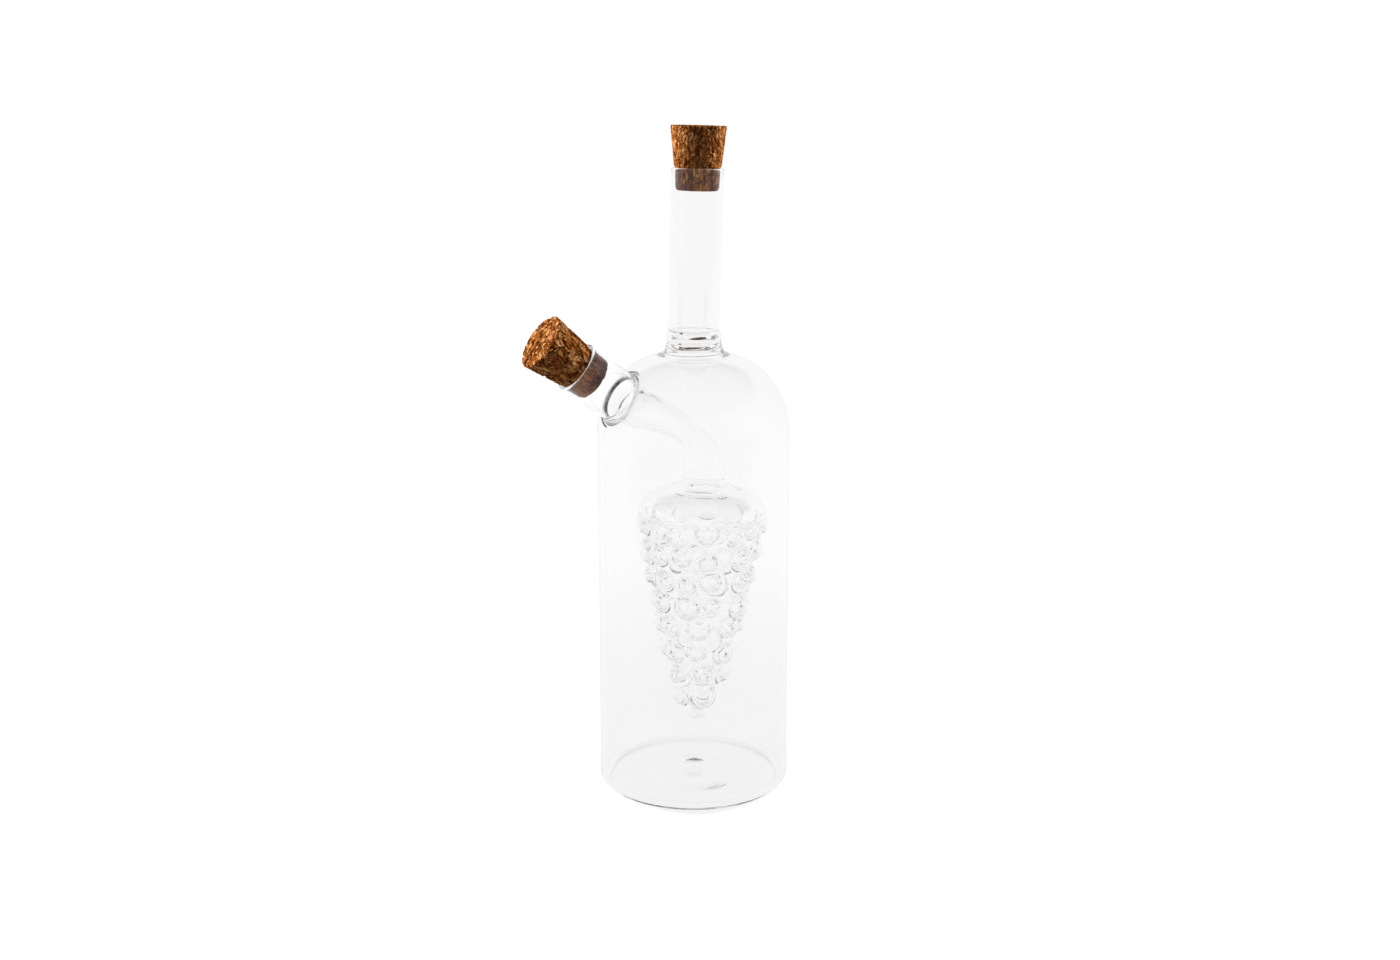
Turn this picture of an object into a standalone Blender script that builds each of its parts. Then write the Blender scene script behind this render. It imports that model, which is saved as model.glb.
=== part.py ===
"""An oil and vinegar bottle of blown glass, with a second vessel for the vinegar inside it.

Metres, +Z up. The origin is the centre of the flat underside, on the bottle's upright axis. The spout
leans out towards -X, in the XZ plane. The neck leans a little the other way, as blown by hand, and the
grape vessel hangs a little to the +X side of the axis.

The glass pieces are kept apart where a glassblower joins them in the flame. The two corks pull out
along the neck and along the spout.
"""

import math

import bmesh
import bpy
import numpy as np
from mathutils import Vector

MM = 0.001

# Seam left between two pieces of glass that are fused on the real bottle
SEAM = 0.3 * MM

# Outer bottle
BODY_RADIUS = 40.0 * MM
BODY_WALL = 2.2 * MM
BASE_THICKNESS = 3.0 * MM
BASE_CORNER = 4.0 * MM
BASE_INSIDE_CORNER = 5.0 * MM
WALL_TOP = 151.6 * MM
SHOULDER_HEIGHT = 32.9 * MM

# Neck and spout are drawn from one size of tube, and take the same cork
TUBE_BORE = 9.3 * MM
TUBE_WALL = 1.2 * MM
LIP_BEAD = 0.25 * MM
NECK_FLARE = 0.4 * MM
SPOUT_FLARE = 0.9 * MM
FLARE_LENGTH = 9.0 * MM
NECK_LENGTH = 67.8 * MM
NECK_LEAN = math.radians(1.6)
COLLAR_HEIGHT = 6.6 * MM
COLLAR_BULGE = 1.3 * MM

# Side spout: where its axis crosses the shoulder's curve, its rise, and how far it stands out
SPOUT_SEAT_ANGLE = math.radians(33.0)
SPOUT_RISE = math.radians(37.0)
SPOUT_REACH = 22.2 * MM
SEAL_RADIUS = 12.0 * MM
SEAL_INSIDE = 7.0 * MM
SEAL_OUTSIDE = 0.5 * MM
SEAL_FOOT_STEP = 0.2 * MM

# Feed tube, from the spout's seal down to the grape vessel; its bend is pinched in a little
FEED_BORE = 7.3 * MM
FEED_WALL = 1.2 * MM
FEED_START_FALL = math.radians(20.0)
FEED_START_REACH = 23.0 * MM
FEED_FOOT_REACH = 13.0 * MM
FEED_BEND_PINCH = 2.6 * MM
VESSEL_COLLAR_HEIGHT = 3.7 * MM
VESSEL_COLLAR_BULGE = 1.0 * MM

# Grape vessel: a tapering bunch of hollow berries under a smooth dome; depths are from its mouth
VESSEL_DROP = 20.9 * MM
VESSEL_OFFSET = 4.7 * MM
VESSEL_LEAN = math.radians(1.8)
VESSEL_WALL = 1.1 * MM
VESSEL_SIDE_GAP = 5.5 * MM
VESSEL_FOOT_GAP = 22.5 * MM
DOME_TOP_DEPTH = 3.0 * MM
DOME_FOOT_DEPTH = 13.5 * MM
DOME_EDGE_STEP = 0.6 * MM
TOP_ROW_DEPTH = 18.3 * MM
ROW_PITCH = 10.7 * MM
BUNCH_TIP_RADIUS = 1.5 * MM
BUNCH_BELLY = 2.2 * MM
BERRY_RADIUS = 5.4 * MM
BERRY_SPACING = 11.3 * MM
BERRY_SUNK = 2.0 * MM
FEWEST_BERRIES = 3
MOUTH_FILLET = 0.8 * MM

# Corks: how far each stands out of its tube and goes in, and its radius at the outer end
NECK_CORK_PROUD = 17.0 * MM
NECK_CORK_SUNK = 9.0 * MM
NECK_CORK_RADIUS = 11.5 * MM
SPOUT_CORK_PROUD = 18.5 * MM
SPOUT_CORK_SUNK = 9.6 * MM
SPOUT_CORK_RADIUS = 11.8 * MM
CORK_FOOT_TAPER = 0.3 * MM
CORK_CLEARANCE = 0.3 * MM
CORK_EDGE = 0.6 * MM
CORK_SHOULDER = 1.4 * MM

# Facets
BODY_SIDES = 44
SHOULDER_STEPS = 8
TUBE_SIDES = 26
FEED_SIDES = 18
FEED_STATIONS = 10
RING_STEPS = 6
SEAL_STEPS = 4
DOME_RINGS = 5
DOME_FIRST_TURN = 9.0
TIP_RINGS = 4
BERRY_COLUMNS = 5
BERRY_RINGS = 5
CREASE = math.radians(40.0)

# Sizes and places that follow
TUBE_RADIUS = TUBE_BORE + TUBE_WALL
FEED_RADIUS = FEED_BORE + FEED_WALL
SHOULDER_REACH = BODY_RADIUS - TUBE_BORE
SPOUT_AXIS = Vector((-math.cos(SPOUT_RISE), 0.0, math.sin(SPOUT_RISE)))
SPOUT_TURN = SPOUT_RISE - math.pi / 2.0
SPOUT_SEAT = Vector((
    -TUBE_BORE - SHOULDER_REACH * math.cos(SPOUT_SEAT_ANGLE),
    0.0,
    WALL_TOP + SHOULDER_HEIGHT * math.sin(SPOUT_SEAT_ANGLE),
))
COLLAR_BASE = WALL_TOP + SHOULDER_HEIGHT + SEAM
NECK_AXIS = Vector((math.sin(NECK_LEAN), 0.0, math.cos(NECK_LEAN)))
NECK_FOOT = Vector((0.0, 0.0, COLLAR_BASE + COLLAR_HEIGHT + SEAM + TUBE_RADIUS * math.sin(NECK_LEAN)))
VESSEL_AXIS = Vector((math.sin(VESSEL_LEAN), 0.0, math.cos(VESSEL_LEAN)))
VESSEL_PLACE = Vector((VESSEL_OFFSET, 0.0, WALL_TOP - VESSEL_DROP))
TIP_DEPTH = VESSEL_PLACE.z - BASE_THICKNESS - VESSEL_FOOT_GAP - BERRY_RADIUS
DOME_RADIUS = BODY_RADIUS - BODY_WALL - VESSEL_OFFSET - VESSEL_SIDE_GAP - DOME_EDGE_STEP
BUNCH_TOP_RADIUS = DOME_RADIUS + DOME_EDGE_STEP - BERRY_RADIUS


def clear_scene():
    for old in list(bpy.data.objects):
        bpy.data.objects.remove(old, do_unlink=True)


def finish(name, colour, roughness, clear, ior):
    """A Principled material; clear is how much light goes through it."""
    made = bpy.data.materials.new(name)
    made.use_nodes = True
    made.diffuse_color = (*colour, 1.0)
    shader = made.node_tree.nodes["Principled BSDF"]
    shader.inputs["Base Color"].default_value = (*colour, 1.0)
    shader.inputs["Roughness"].default_value = roughness
    shader.inputs["Metallic"].default_value = 0.0
    shader.inputs["Transmission Weight"].default_value = clear
    shader.inputs["IOR"].default_value = ior
    return made


def glass(name):
    """Clear borosilicate glass, each piece with its own copy."""
    return finish("glass_" + name, (0.95, 0.97, 0.97), 0.02, 1.0, 1.474)


def cork(name):
    """Pressed cork granules, brown and dull."""
    return finish("cork_" + name, (0.36, 0.20, 0.09), 0.9, 0.0, 1.45)


def place(name, shape, material, parent, location=(0.0, 0.0, 0.0), turn=0.0):
    """Makes a smooth-shaded object of a bmesh; turn leans it about Y."""
    mesh = bpy.data.meshes.new(name)
    bmesh.ops.recalc_face_normals(shape, faces=shape.faces)
    shape.to_mesh(mesh)
    shape.free()
    mesh.shade_smooth()
    mesh.set_sharp_from_angle(angle=CREASE)
    mesh.materials.append(material)
    made = bpy.data.objects.new(name, mesh)
    made.location = location
    made.rotation_euler = (0.0, turn, 0.0)
    made.parent = parent
    bpy.context.collection.objects.link(made)
    return made


def arc(centre, reach, rise, start, end, steps):
    """Points (r, z) on a round or oval arc, both ends in, angles in degrees from the +r direction."""
    angles = [math.radians(start + (end - start) * i / steps) for i in range(steps + 1)]
    return [(centre[0] + reach * math.cos(a), centre[1] + rise * math.sin(a)) for a in angles]


def blend(low, high, t):
    """A smooth step from low to high, level at both ends."""
    return low + (high - low) * (1.0 - math.cos(math.pi * t)) / 2.0


def turned(outline, sides, closed=True):
    """Spins an outline of (r, z) points round Z into a bmesh; an open one has both ends on the axis."""
    shape = bmesh.new()
    points = [shape.verts.new((r, 0.0, z)) for r, z in outline]
    pairs = list(zip(points, points[1:]))
    if closed:
        pairs.append((points[-1], points[0]))
    edges = [shape.edges.new(pair) for pair in pairs]
    bmesh.ops.spin(
        shape, geom=points + edges, cent=(0.0, 0.0, 0.0), axis=(0.0, 0.0, 1.0),
        angle=2.0 * math.pi, steps=sides, use_merge=True,
    )
    bmesh.ops.remove_doubles(shape, verts=shape.verts, dist=1e-6)
    return shape


def join_rings(shape, low, high, ahead=0.0):
    """Faces between two rings of points; ahead is how far round the high ring starts, in turns."""
    skip = round(-ahead * len(high))
    offset = ahead + skip / len(high)
    i = 0
    j = 0
    while i < len(low) or j < len(high):
        next_low = (i + 1) / len(low)
        next_high = offset + (j + 1) / len(high)
        step_low = i < len(low) and (j == len(high) or next_low < next_high + 1e-9)
        step_high = j < len(high) and (i == len(low) or next_high < next_low + 1e-9)
        corners = [low[i % len(low)]]
        if step_low:
            i += 1
            corners.append(low[i % len(low)])
        if step_high:
            corners.append(high[(j + 1 + skip) % len(high)])
        corners.append(high[(j + skip) % len(high)])
        j += step_high
        shape.faces.new(corners)


def body_shell(root):
    """The outer bottle: base, straight wall and oval shoulder, open under the neck and at the spout."""
    bore = BODY_RADIUS - BODY_WALL
    corner = (BODY_RADIUS - BASE_CORNER, BASE_CORNER)
    inside_corner = (bore - BASE_INSIDE_CORNER, BASE_THICKNESS + BASE_INSIDE_CORNER)
    shoulder = (TUBE_BORE, WALL_TOP)
    outline = [(0.0, 0.0)]
    outline += arc(corner, BASE_CORNER, BASE_CORNER, -90.0, 0.0, 4)
    outline += arc(shoulder, SHOULDER_REACH, SHOULDER_HEIGHT, 0.0, 90.0, SHOULDER_STEPS)
    outline += arc(
        shoulder, SHOULDER_REACH - BODY_WALL, SHOULDER_HEIGHT - BODY_WALL, 90.0, 0.0, SHOULDER_STEPS,
    )
    outline += arc(inside_corner, BASE_INSIDE_CORNER, BASE_INSIDE_CORNER, 0.0, -90.0, 3)
    outline.append((0.0, BASE_THICKNESS))
    shell = place("body_shell", turned(outline, BODY_SIDES, closed=False), glass("body"), root)
    hole = shell.modifiers.new("spout_hole", "BOOLEAN")
    hole.operation = "DIFFERENCE"
    hole.solver = "EXACT"
    hole.object = spout_hole_cutter(root)


def spout_hole_cutter(root):
    """A guide that clears the shoulder round the spout's ring seal."""
    radius = SEAL_RADIUS + SEAM
    outline = [(0.0, -SEAL_RADIUS), (radius, -SEAL_RADIUS), (radius, SEAL_RADIUS), (0.0, SEAL_RADIUS)]
    shape = turned(outline, TUBE_SIDES, closed=False)
    cutter = place("spout_hole_cutter", shape, glass("cutter"), root, SPOUT_SEAT, SPOUT_TURN)
    cutter.hide_render = True
    cutter.display_type = "WIRE"
    return cutter


def open_tube(length, flare):
    """A tube with a flared foot and a fire-polished bead round its open rim."""
    bead = TUBE_WALL / 2.0 + LIP_BEAD
    foot = TUBE_RADIUS + flare
    outline = [(TUBE_BORE, 0.0), (foot, 0.0)]
    outline += [(blend(foot, TUBE_RADIUS, t), FLARE_LENGTH * t) for t in (0.35, 0.65, 1.0)]
    outline.append((TUBE_RADIUS, length - 2.2 * bead))
    outline += arc((TUBE_BORE + bead, length - bead), bead, bead, -20.0, 180.0, RING_STEPS)
    return turned(outline, TUBE_SIDES)


def weld_ring(height, bore, foot, bulge, sides):
    """A ring of fused glass as wide at both ends as the tubes it joins, swollen most near its foot."""
    outline = []
    for i in range(RING_STEPS + 1):
        t = i / RING_STEPS
        outline.append((foot + bulge * math.sin(math.pi * math.sqrt(t)), height * t))
    outline += [(bore, height), (bore, 0.0)]
    return turned(outline, sides)


def neck(root):
    """The neck, leaning slightly away from the spout, on a level weld ring."""
    ring = weld_ring(COLLAR_HEIGHT, TUBE_BORE, TUBE_RADIUS + NECK_FLARE, COLLAR_BULGE, TUBE_SIDES)
    place("neck_collar", ring, glass("neck_collar"), root, (0.0, 0.0, COLLAR_BASE))
    tube = open_tube(NECK_LENGTH, NECK_FLARE)
    place("neck_tube", tube, glass("neck"), root, NECK_FOOT, NECK_LEAN)


def along_spout(distance):
    """A point on the spout's axis, measured out from where the axis crosses the shoulder."""
    return SPOUT_SEAT + SPOUT_AXIS * distance


def spout_ring_seal(root):
    """The thick ring that carries spout and feed tube in the shoulder; its bore funnels inwards."""
    height = SEAL_INSIDE + SEAL_OUTSIDE
    foot = FEED_RADIUS + SEAL_FOOT_STEP
    head = TUBE_RADIUS + SPOUT_FLARE
    shares = [i / SEAL_STEPS for i in range(SEAL_STEPS + 1)]
    outline = [(blend(foot, SEAL_RADIUS, math.sqrt(t)), height * 0.3 * t) for t in shares]
    outline += [(blend(SEAL_RADIUS, head, t), height * (0.65 + 0.35 * t)) for t in shares]
    outline += [(blend(TUBE_BORE, FEED_BORE, t), height * (1.0 - t)) for t in shares]
    shape = turned(outline, TUBE_SIDES)
    place("spout_ring_seal", shape, glass("seal"), root, along_spout(-SEAL_INSIDE), SPOUT_TURN)


def spout_tube(root):
    """The slanted side spout, out from its ring seal."""
    foot = SEAL_OUTSIDE + SEAM
    shape = open_tube(SPOUT_REACH - foot, SPOUT_FLARE)
    place("spout_tube", shape, glass("spout"), root, along_spout(foot), SPOUT_TURN)


def feed_path():
    """The feed tube's centre line, seal to vessel: a point, a direction and a pinch at each station."""
    start = along_spout(-SEAL_INSIDE - SEAM)
    end = VESSEL_PLACE + VESSEL_AXIS * (VESSEL_COLLAR_HEIGHT + 2.0 * SEAM)
    first = start + Vector((math.cos(FEED_START_FALL), 0.0, -math.sin(FEED_START_FALL))) * FEED_START_REACH
    second = end + VESSEL_AXIS * FEED_FOOT_REACH
    path = []
    for i in range(FEED_STATIONS + 1):
        t = i / FEED_STATIONS
        u = 1.0 - t
        point = start * u ** 3 + first * 3.0 * t * u ** 2 + second * 3.0 * t ** 2 * u + end * t ** 3
        run = (first - start) * u ** 2 + (second - first) * 2.0 * t * u + (end - second) * t ** 2
        path.append((point, run.normalized(), FEED_BEND_PINCH * math.sin(math.pi * t) ** 2))
    path[0] = (start, -SPOUT_AXIS, 0.0)
    return path


def feed_tube(root):
    """The bent tube inside the bottle, lofted through rings along its centre line."""
    shape = bmesh.new()
    across = Vector((0.0, 1.0, 0.0))
    skins = []
    for radius in (FEED_RADIUS, FEED_BORE):
        rings = []
        for point, run, pinch in feed_path():
            side = across.cross(run)
            ring = []
            for k in range(FEED_SIDES):
                angle = 2.0 * math.pi * k / FEED_SIDES
                offset = across * (radius * math.sin(angle)) + side * ((radius - pinch) * math.cos(angle))
                ring.append(shape.verts.new(point + offset))
            rings.append(ring)
        for low, high in zip(rings, rings[1:]):
            join_rings(shape, low, high)
        skins.append(rings)
    outer, inner = skins
    join_rings(shape, outer[0], inner[0])
    join_rings(shape, outer[-1], inner[-1])
    place("feed_tube", shape, glass("feed"), root)


def vessel_collar(root):
    """The weld ring between the feed tube and the grape vessel."""
    ring = weld_ring(VESSEL_COLLAR_HEIGHT, FEED_BORE, FEED_RADIUS, VESSEL_COLLAR_BULGE, FEED_SIDES)
    base = VESSEL_PLACE + VESSEL_AXIS * SEAM
    place("vessel_collar", ring, glass("vessel_collar"), root, base, VESSEL_LEAN)


def bunch_radius(depth):
    """Radius of the circle of berry centres at a depth: a taper to the tip with a slight belly."""
    share = (TIP_DEPTH - depth) / (TIP_DEPTH - TOP_ROW_DEPTH)
    taper = BUNCH_TIP_RADIUS + (BUNCH_TOP_RADIUS - BUNCH_TIP_RADIUS) * share
    return taper + 4.0 * BUNCH_BELLY * share * (1.0 - share)


def core_radius(depth):
    """Radius of the vessel's skin between its berries: an oval dome, a tuck below it, then the taper."""
    if depth >= TOP_ROW_DEPTH:
        return bunch_radius(depth) + BERRY_SUNK
    if depth >= DOME_FOOT_DEPTH:
        share = (depth - DOME_FOOT_DEPTH) / (TOP_ROW_DEPTH - DOME_FOOT_DEPTH)
        return blend(DOME_RADIUS, BUNCH_TOP_RADIUS + BERRY_SUNK, share)
    rise = (DOME_FOOT_DEPTH - depth) / (DOME_FOOT_DEPTH - DOME_TOP_DEPTH)
    return FEED_RADIUS + (DOME_RADIUS - FEED_RADIUS) * math.sqrt(max(1.0 - rise ** 2, 0.0))


def berry_rows():
    """Depth, number of berries and first angle, in turns, of each row; every row is staggered."""
    rows = []
    depth = TOP_ROW_DEPTH
    ahead = 0.0
    while depth < TIP_DEPTH - ROW_PITCH / 2.0:
        count = max(FEWEST_BERRIES, round(2.0 * math.pi * bunch_radius(depth) / BERRY_SPACING))
        rows.append((depth, count, ahead))
        ahead += 0.5 / count
        depth += ROW_PITCH
    return rows


def berry_centres():
    """The centre of every berry, with the last one alone at the tip."""
    centres = [(0.0, 0.0, -TIP_DEPTH)]
    for depth, count, ahead in berry_rows():
        radius = bunch_radius(depth)
        for k in range(count):
            angle = 2.0 * math.pi * (ahead + k / count)
            centres.append((radius * math.cos(angle), radius * math.sin(angle), -depth))
    return np.array(centres)


def core_slope(depth):
    """How far the skin's normal tips up from level at a depth, measured over a short step."""
    step = 0.01 * MM
    return math.atan2(core_radius(depth + step) - core_radius(depth - step), 2.0 * step)


def vessel_rings():
    """Rings of the vessel's core, mouth to tip: radius, depth, slope, columns and first angle in turns."""
    rows = berry_rows()
    mouth_columns = 2 * rows[0][1]
    dome_columns = BERRY_COLUMNS * rows[0][1]
    band = 0.4 * ROW_PITCH
    rings = [(FEED_RADIUS, 0.0, 0.0, mouth_columns, 0.0)]
    rings.append((FEED_RADIUS, DOME_TOP_DEPTH - MOUTH_FILLET, 0.0, mouth_columns, 0.0))
    for i in range(DOME_RINGS):
        turn = math.radians(DOME_FIRST_TURN + (90.0 - DOME_FIRST_TURN) * i / DOME_RINGS)
        depth = DOME_FOOT_DEPTH - (DOME_FOOT_DEPTH - DOME_TOP_DEPTH) * math.cos(turn)
        columns = dome_columns if i > 1 else 2 * mouth_columns
        rings.append((core_radius(depth), depth, core_slope(depth), columns, 0.0))
    for row_depth, count, ahead in rows:
        for i in range(BERRY_RINGS):
            depth = row_depth + band * (2.0 * i / (BERRY_RINGS - 1) - 1.0)
            rings.append((core_radius(depth), depth, core_slope(depth), BERRY_COLUMNS * count, ahead))
    tip_radius = core_radius(TIP_DEPTH)
    start = core_slope(TIP_DEPTH)
    for i in range(TIP_RINGS):
        slope = start + (-math.pi / 2.0 - start) * i / TIP_RINGS
        depth = TIP_DEPTH - tip_radius * math.sin(slope)
        rings.append((tip_radius * math.cos(slope), depth, slope, 2 * BERRY_COLUMNS, 0.0))
    return rings


def berry_swell(points, normals, radius):
    """How far each point moves out along its normal to lie on the outermost berry that it meets."""
    swell = np.zeros(len(points))
    for centre in berry_centres():
        to_centre = centre - points
        along = np.einsum("ij,ij->i", to_centre, normals)
        miss = np.einsum("ij,ij->i", to_centre, to_centre) - along ** 2
        inside = radius ** 2 - miss
        far = along + np.sqrt(np.maximum(inside, 0.0))
        swell = np.where(inside > 0.0, np.maximum(swell, far), swell)
    return swell


def vessel_skin(shape, inset):
    """One closed-ended skin of the grape vessel, inset from the outside; returns its mouth ring."""
    rings = vessel_rings()
    points = []
    normals = []
    for radius, depth, slope, columns, ahead in rings:
        for k in range(columns):
            angle = 2.0 * math.pi * (ahead + k / columns)
            points.append((radius * math.cos(angle), radius * math.sin(angle), -depth))
            level = math.cos(slope)
            normals.append((level * math.cos(angle), level * math.sin(angle), math.sin(slope)))
    points.append((0.0, 0.0, -TIP_DEPTH - core_radius(TIP_DEPTH)))
    normals.append((0.0, 0.0, -1.0))
    normals = np.array(normals)
    points = np.array(points) - normals * inset
    points += normals * berry_swell(points, normals, BERRY_RADIUS - inset)[:, None]
    verts = [shape.verts.new(point) for point in points]
    tip = verts.pop()
    loops = []
    for ring in rings:
        loops.append((verts[:ring[3]], ring[4]))
        verts = verts[ring[3]:]
    for (low, low_start), (high, high_start) in zip(loops, loops[1:]):
        join_rings(shape, low, high, high_start - low_start)
    last = loops[-1][0]
    for a, b in zip(last, last[1:] + last[:1]):
        shape.faces.new((a, b, tip))
    return loops[0][0]


def grape_vessel(root):
    """The inner vessel: one blown skin inside another, so that each berry is a hollow bubble."""
    shape = bmesh.new()
    outer_mouth = vessel_skin(shape, 0.0)
    inner_mouth = vessel_skin(shape, VESSEL_WALL)
    join_rings(shape, outer_mouth, inner_mouth)
    place("grape_vessel", shape, glass("vessel"), root, VESSEL_PLACE, VESSEL_LEAN)


def cork_shape(proud, sunk, radius):
    """A tapered cork with its tube's rim level at z = 0, squeezed where it goes into the bore."""
    seat = TUBE_BORE - CORK_CLEARANCE
    foot = seat - CORK_FOOT_TAPER
    outline = [
        (0.0, proud),
        (radius - CORK_EDGE, proud),
        (radius, proud - CORK_EDGE),
        (TUBE_BORE + CORK_CLEARANCE, CORK_SHOULDER),
        (seat, 0.0),
        (foot, CORK_EDGE - sunk),
        (foot - CORK_EDGE, -sunk),
        (0.0, -sunk),
    ]
    return turned(outline, TUBE_SIDES, closed=False)


def corks(root):
    """The two corks, each with its origin at the rim that it closes, on its joint's axis."""
    neck_shape = cork_shape(NECK_CORK_PROUD, NECK_CORK_SUNK, NECK_CORK_RADIUS)
    place("neck_cork", neck_shape, cork("neck"), root, NECK_FOOT + NECK_AXIS * NECK_LENGTH, NECK_LEAN)
    spout_shape = cork_shape(SPOUT_CORK_PROUD, SPOUT_CORK_SUNK, SPOUT_CORK_RADIUS)
    place("spout_cork", spout_shape, cork("spout"), root, along_spout(SPOUT_REACH), SPOUT_TURN)


def main():
    clear_scene()
    root = bpy.data.objects.new("bottle_frame", None)
    bpy.context.collection.objects.link(root)
    body_shell(root)
    neck(root)
    spout_ring_seal(root)
    spout_tube(root)
    feed_tube(root)
    vessel_collar(root)
    grape_vessel(root)
    corks(root)


main()
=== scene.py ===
"""An oil and vinegar bottle of blown glass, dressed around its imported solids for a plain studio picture.

All the glass is one piece, as it is once the glassblower has fused it. Its surface runs from the underside
up the body and neck, over the neck's rim and down inside round the oil; at the shoulder it opens into the
spout outside, and into the ring seal, feed tube and grape vessel inside. Sizes are in metres, and the frame
is the solids' own: origin under the bottle, +Z up, spout towards -X.
"""

import math

import bmesh
import bpy
import numpy as np
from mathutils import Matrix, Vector


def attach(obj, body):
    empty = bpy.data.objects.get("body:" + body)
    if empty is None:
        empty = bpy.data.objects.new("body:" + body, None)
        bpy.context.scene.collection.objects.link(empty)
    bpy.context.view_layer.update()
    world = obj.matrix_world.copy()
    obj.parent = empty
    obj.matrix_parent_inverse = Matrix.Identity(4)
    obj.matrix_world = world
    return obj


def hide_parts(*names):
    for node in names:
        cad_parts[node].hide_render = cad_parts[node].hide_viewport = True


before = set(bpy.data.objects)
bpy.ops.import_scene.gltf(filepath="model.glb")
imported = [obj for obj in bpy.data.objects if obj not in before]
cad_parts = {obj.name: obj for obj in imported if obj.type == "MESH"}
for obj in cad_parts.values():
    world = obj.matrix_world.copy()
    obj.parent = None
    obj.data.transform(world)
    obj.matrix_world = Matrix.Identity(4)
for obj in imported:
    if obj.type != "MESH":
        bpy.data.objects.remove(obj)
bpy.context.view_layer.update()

MM = 0.001
WHOLE_TURN = 2.0 * math.pi

# Body; the base has a slight hollow underneath and a low drop of glass in the middle inside
BODY_RADIUS = 40.0 * MM
BODY_WALL = 2.2 * MM
BASE_THICKNESS = 1.6 * MM
BASE_CORNER = 4.0 * MM
BASE_INSIDE_CORNER = 3.2 * MM
BASE_HOLLOW = 0.5 * MM
BASE_HOLLOW_RADIUS = 30.0 * MM
BASE_DROP = 0.8 * MM
BASE_DROP_RADIUS = 5.0 * MM
WALL_TOP = 151.6 * MM
SHOULDER_HEIGHT = 32.9 * MM

# Neck
TUBE_BORE = 9.3 * MM
TUBE_WALL = 1.2 * MM
LIP = 0.75 * MM
LIP_TAKES_OUTSIDE = 2.6 * LIP
LIP_TAKES_INSIDE = 2.0 * LIP
NECK_RIM = 259.8 * MM
NECK_INSIDE_FOOT = 196.0 * MM
NECK_PIVOT = 192.0 * MM
NECK_BEND = 10.0 * MM
NECK_LEAN = math.radians(1.6)

# Spout; the holes are where it and its ring seal leave the two skins of the shoulder
SEAT_ANGLE = math.radians(33.0)
SPOUT_RISE = math.radians(37.0)
SPOUT_REACH = 22.2 * MM
SPOUT_HOLE = 11.1 * MM
SPOUT_FOOT = 0.6 * MM
SPOUT_FLARE = 0.05 * MM
SPOUT_FLARE_LENGTH = 9.0 * MM
SPOUT_LIP_TAKES_OUTSIDE = 1.6 * LIP
SPOUT_LIP_TAKES_INSIDE = 0.5 * MM
SPOUT_BORE_FOOT = 1.4 * MM

# Ring seal between the spout and the feed tube
SEAL_HOLE = 12.6 * MM
SEAL_RADIUS = 11.0 * MM
SEAL_BORE = 6.5 * MM
SEAL_TOP = 0.7 * MM
SEAL_FOOT = 7.6 * MM
SEAL_FOOT_FULLER = 0.1 * MM
SEAL_INSIDE = 7.3 * MM
FUNNEL_TOP = 0.5 * MM
FUNNEL_LENGTH = 7.1 * MM
FUNNEL_CURVE = 1.6
SEAL_THICK_SIDE = 0.13

# Feed tube; the seal runs out into it at one (distance, radius) along the spout's line
SEAL_RUNS_OUT = (-8.2 * MM, 8.53 * MM)
FEED_PLAIN_FROM = 1.6 * MM
FEED_BORE = 7.3 * MM
FEED_WALL = 1.2 * MM
FEED_FALL = math.radians(20.0)
FEED_START_REACH = 23.0 * MM
FEED_END_REACH = 13.0 * MM
FEED_PINCH = 2.6 * MM
FEED_TURNED = 0.16
FEED_OPENS_OVER = 12.0 * MM

# Grape vessel; depths are from its mouth
VESSEL_OFFSET = 4.7 * MM
VESSEL_MOUTH = 130.7 * MM
VESSEL_LEAN = math.radians(1.8)
VESSEL_WALL = 1.2 * MM
VESSEL_COLLAR_TOP = 4.3 * MM
VESSEL_COLLAR_HEIGHT = 3.7 * MM
VESSEL_COLLAR_FOOT = 0.3 * MM
VESSEL_COLLAR_BULGE = 0.6 * MM
DOME_TOP = 3.0 * MM
DOME_LIFTS_OVER = 0.6 * MM
DOME_FOOT = 13.5 * MM
DOME_RADIUS = 27.0 * MM
TOP_ROW = 18.3 * MM
TIP_DEPTH = 99.8 * MM
ROW_PITCH = 10.7 * MM
BUNCH_TOP_RADIUS = 22.2 * MM
BUNCH_TIP_RADIUS = 3.2 * MM
BUNCH_BELLY = 2.2 * MM

# Berries: their centres sink in from the bunch's radius, and are sunk in the core's skin outside it
BERRY_RADIUS = 5.8 * MM
BERRY_WALL = 0.7 * MM
BERRY_SPACING = 10.7 * MM
BERRY_SINK = 0.45 * MM
BERRY_SUNK = 2.0 * MM
FEWEST_BERRIES = 3
# How unevenly they are blown: sideways as a share of a place, and how thick their feet are
BERRY_SLIP = 0.17
BERRY_OUT = 0.5 * MM
BERRY_DROP = 1.5 * MM
BERRY_SWELL = 0.6 * MM
BERRY_FOOT = 1.6 * MM
BERRY_FOOT_UNEVEN = 0.9 * MM
BERRY_SEED = 11
# How soft the creases between them are
CREASE_OUTSIDE = 0.18 * MM
CREASE_INSIDE = 0.4 * MM

# Corks: slack in the tube, bevel and hollow of the cut ends, and where the part that the tube holds begins
CORK_SLACK = 0.12 * MM
CORK_BEVEL = 0.45 * MM
CORK_TOP_HOLLOW = 0.1 * MM
CORK_FOOT_HOLLOW = 0.05 * MM
CORK_HELD_BELOW = 0.6 * MM
# Below this height, in the tube, the cork takes its oiled finish: darker for oil, and also painted shade for
# the dimmer light on it inside the glass
CORK_OILED_AND_SHADED_BELOW = -0.2 * MM
NECK_CORK_DOWN = 0.01 * MM
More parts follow.
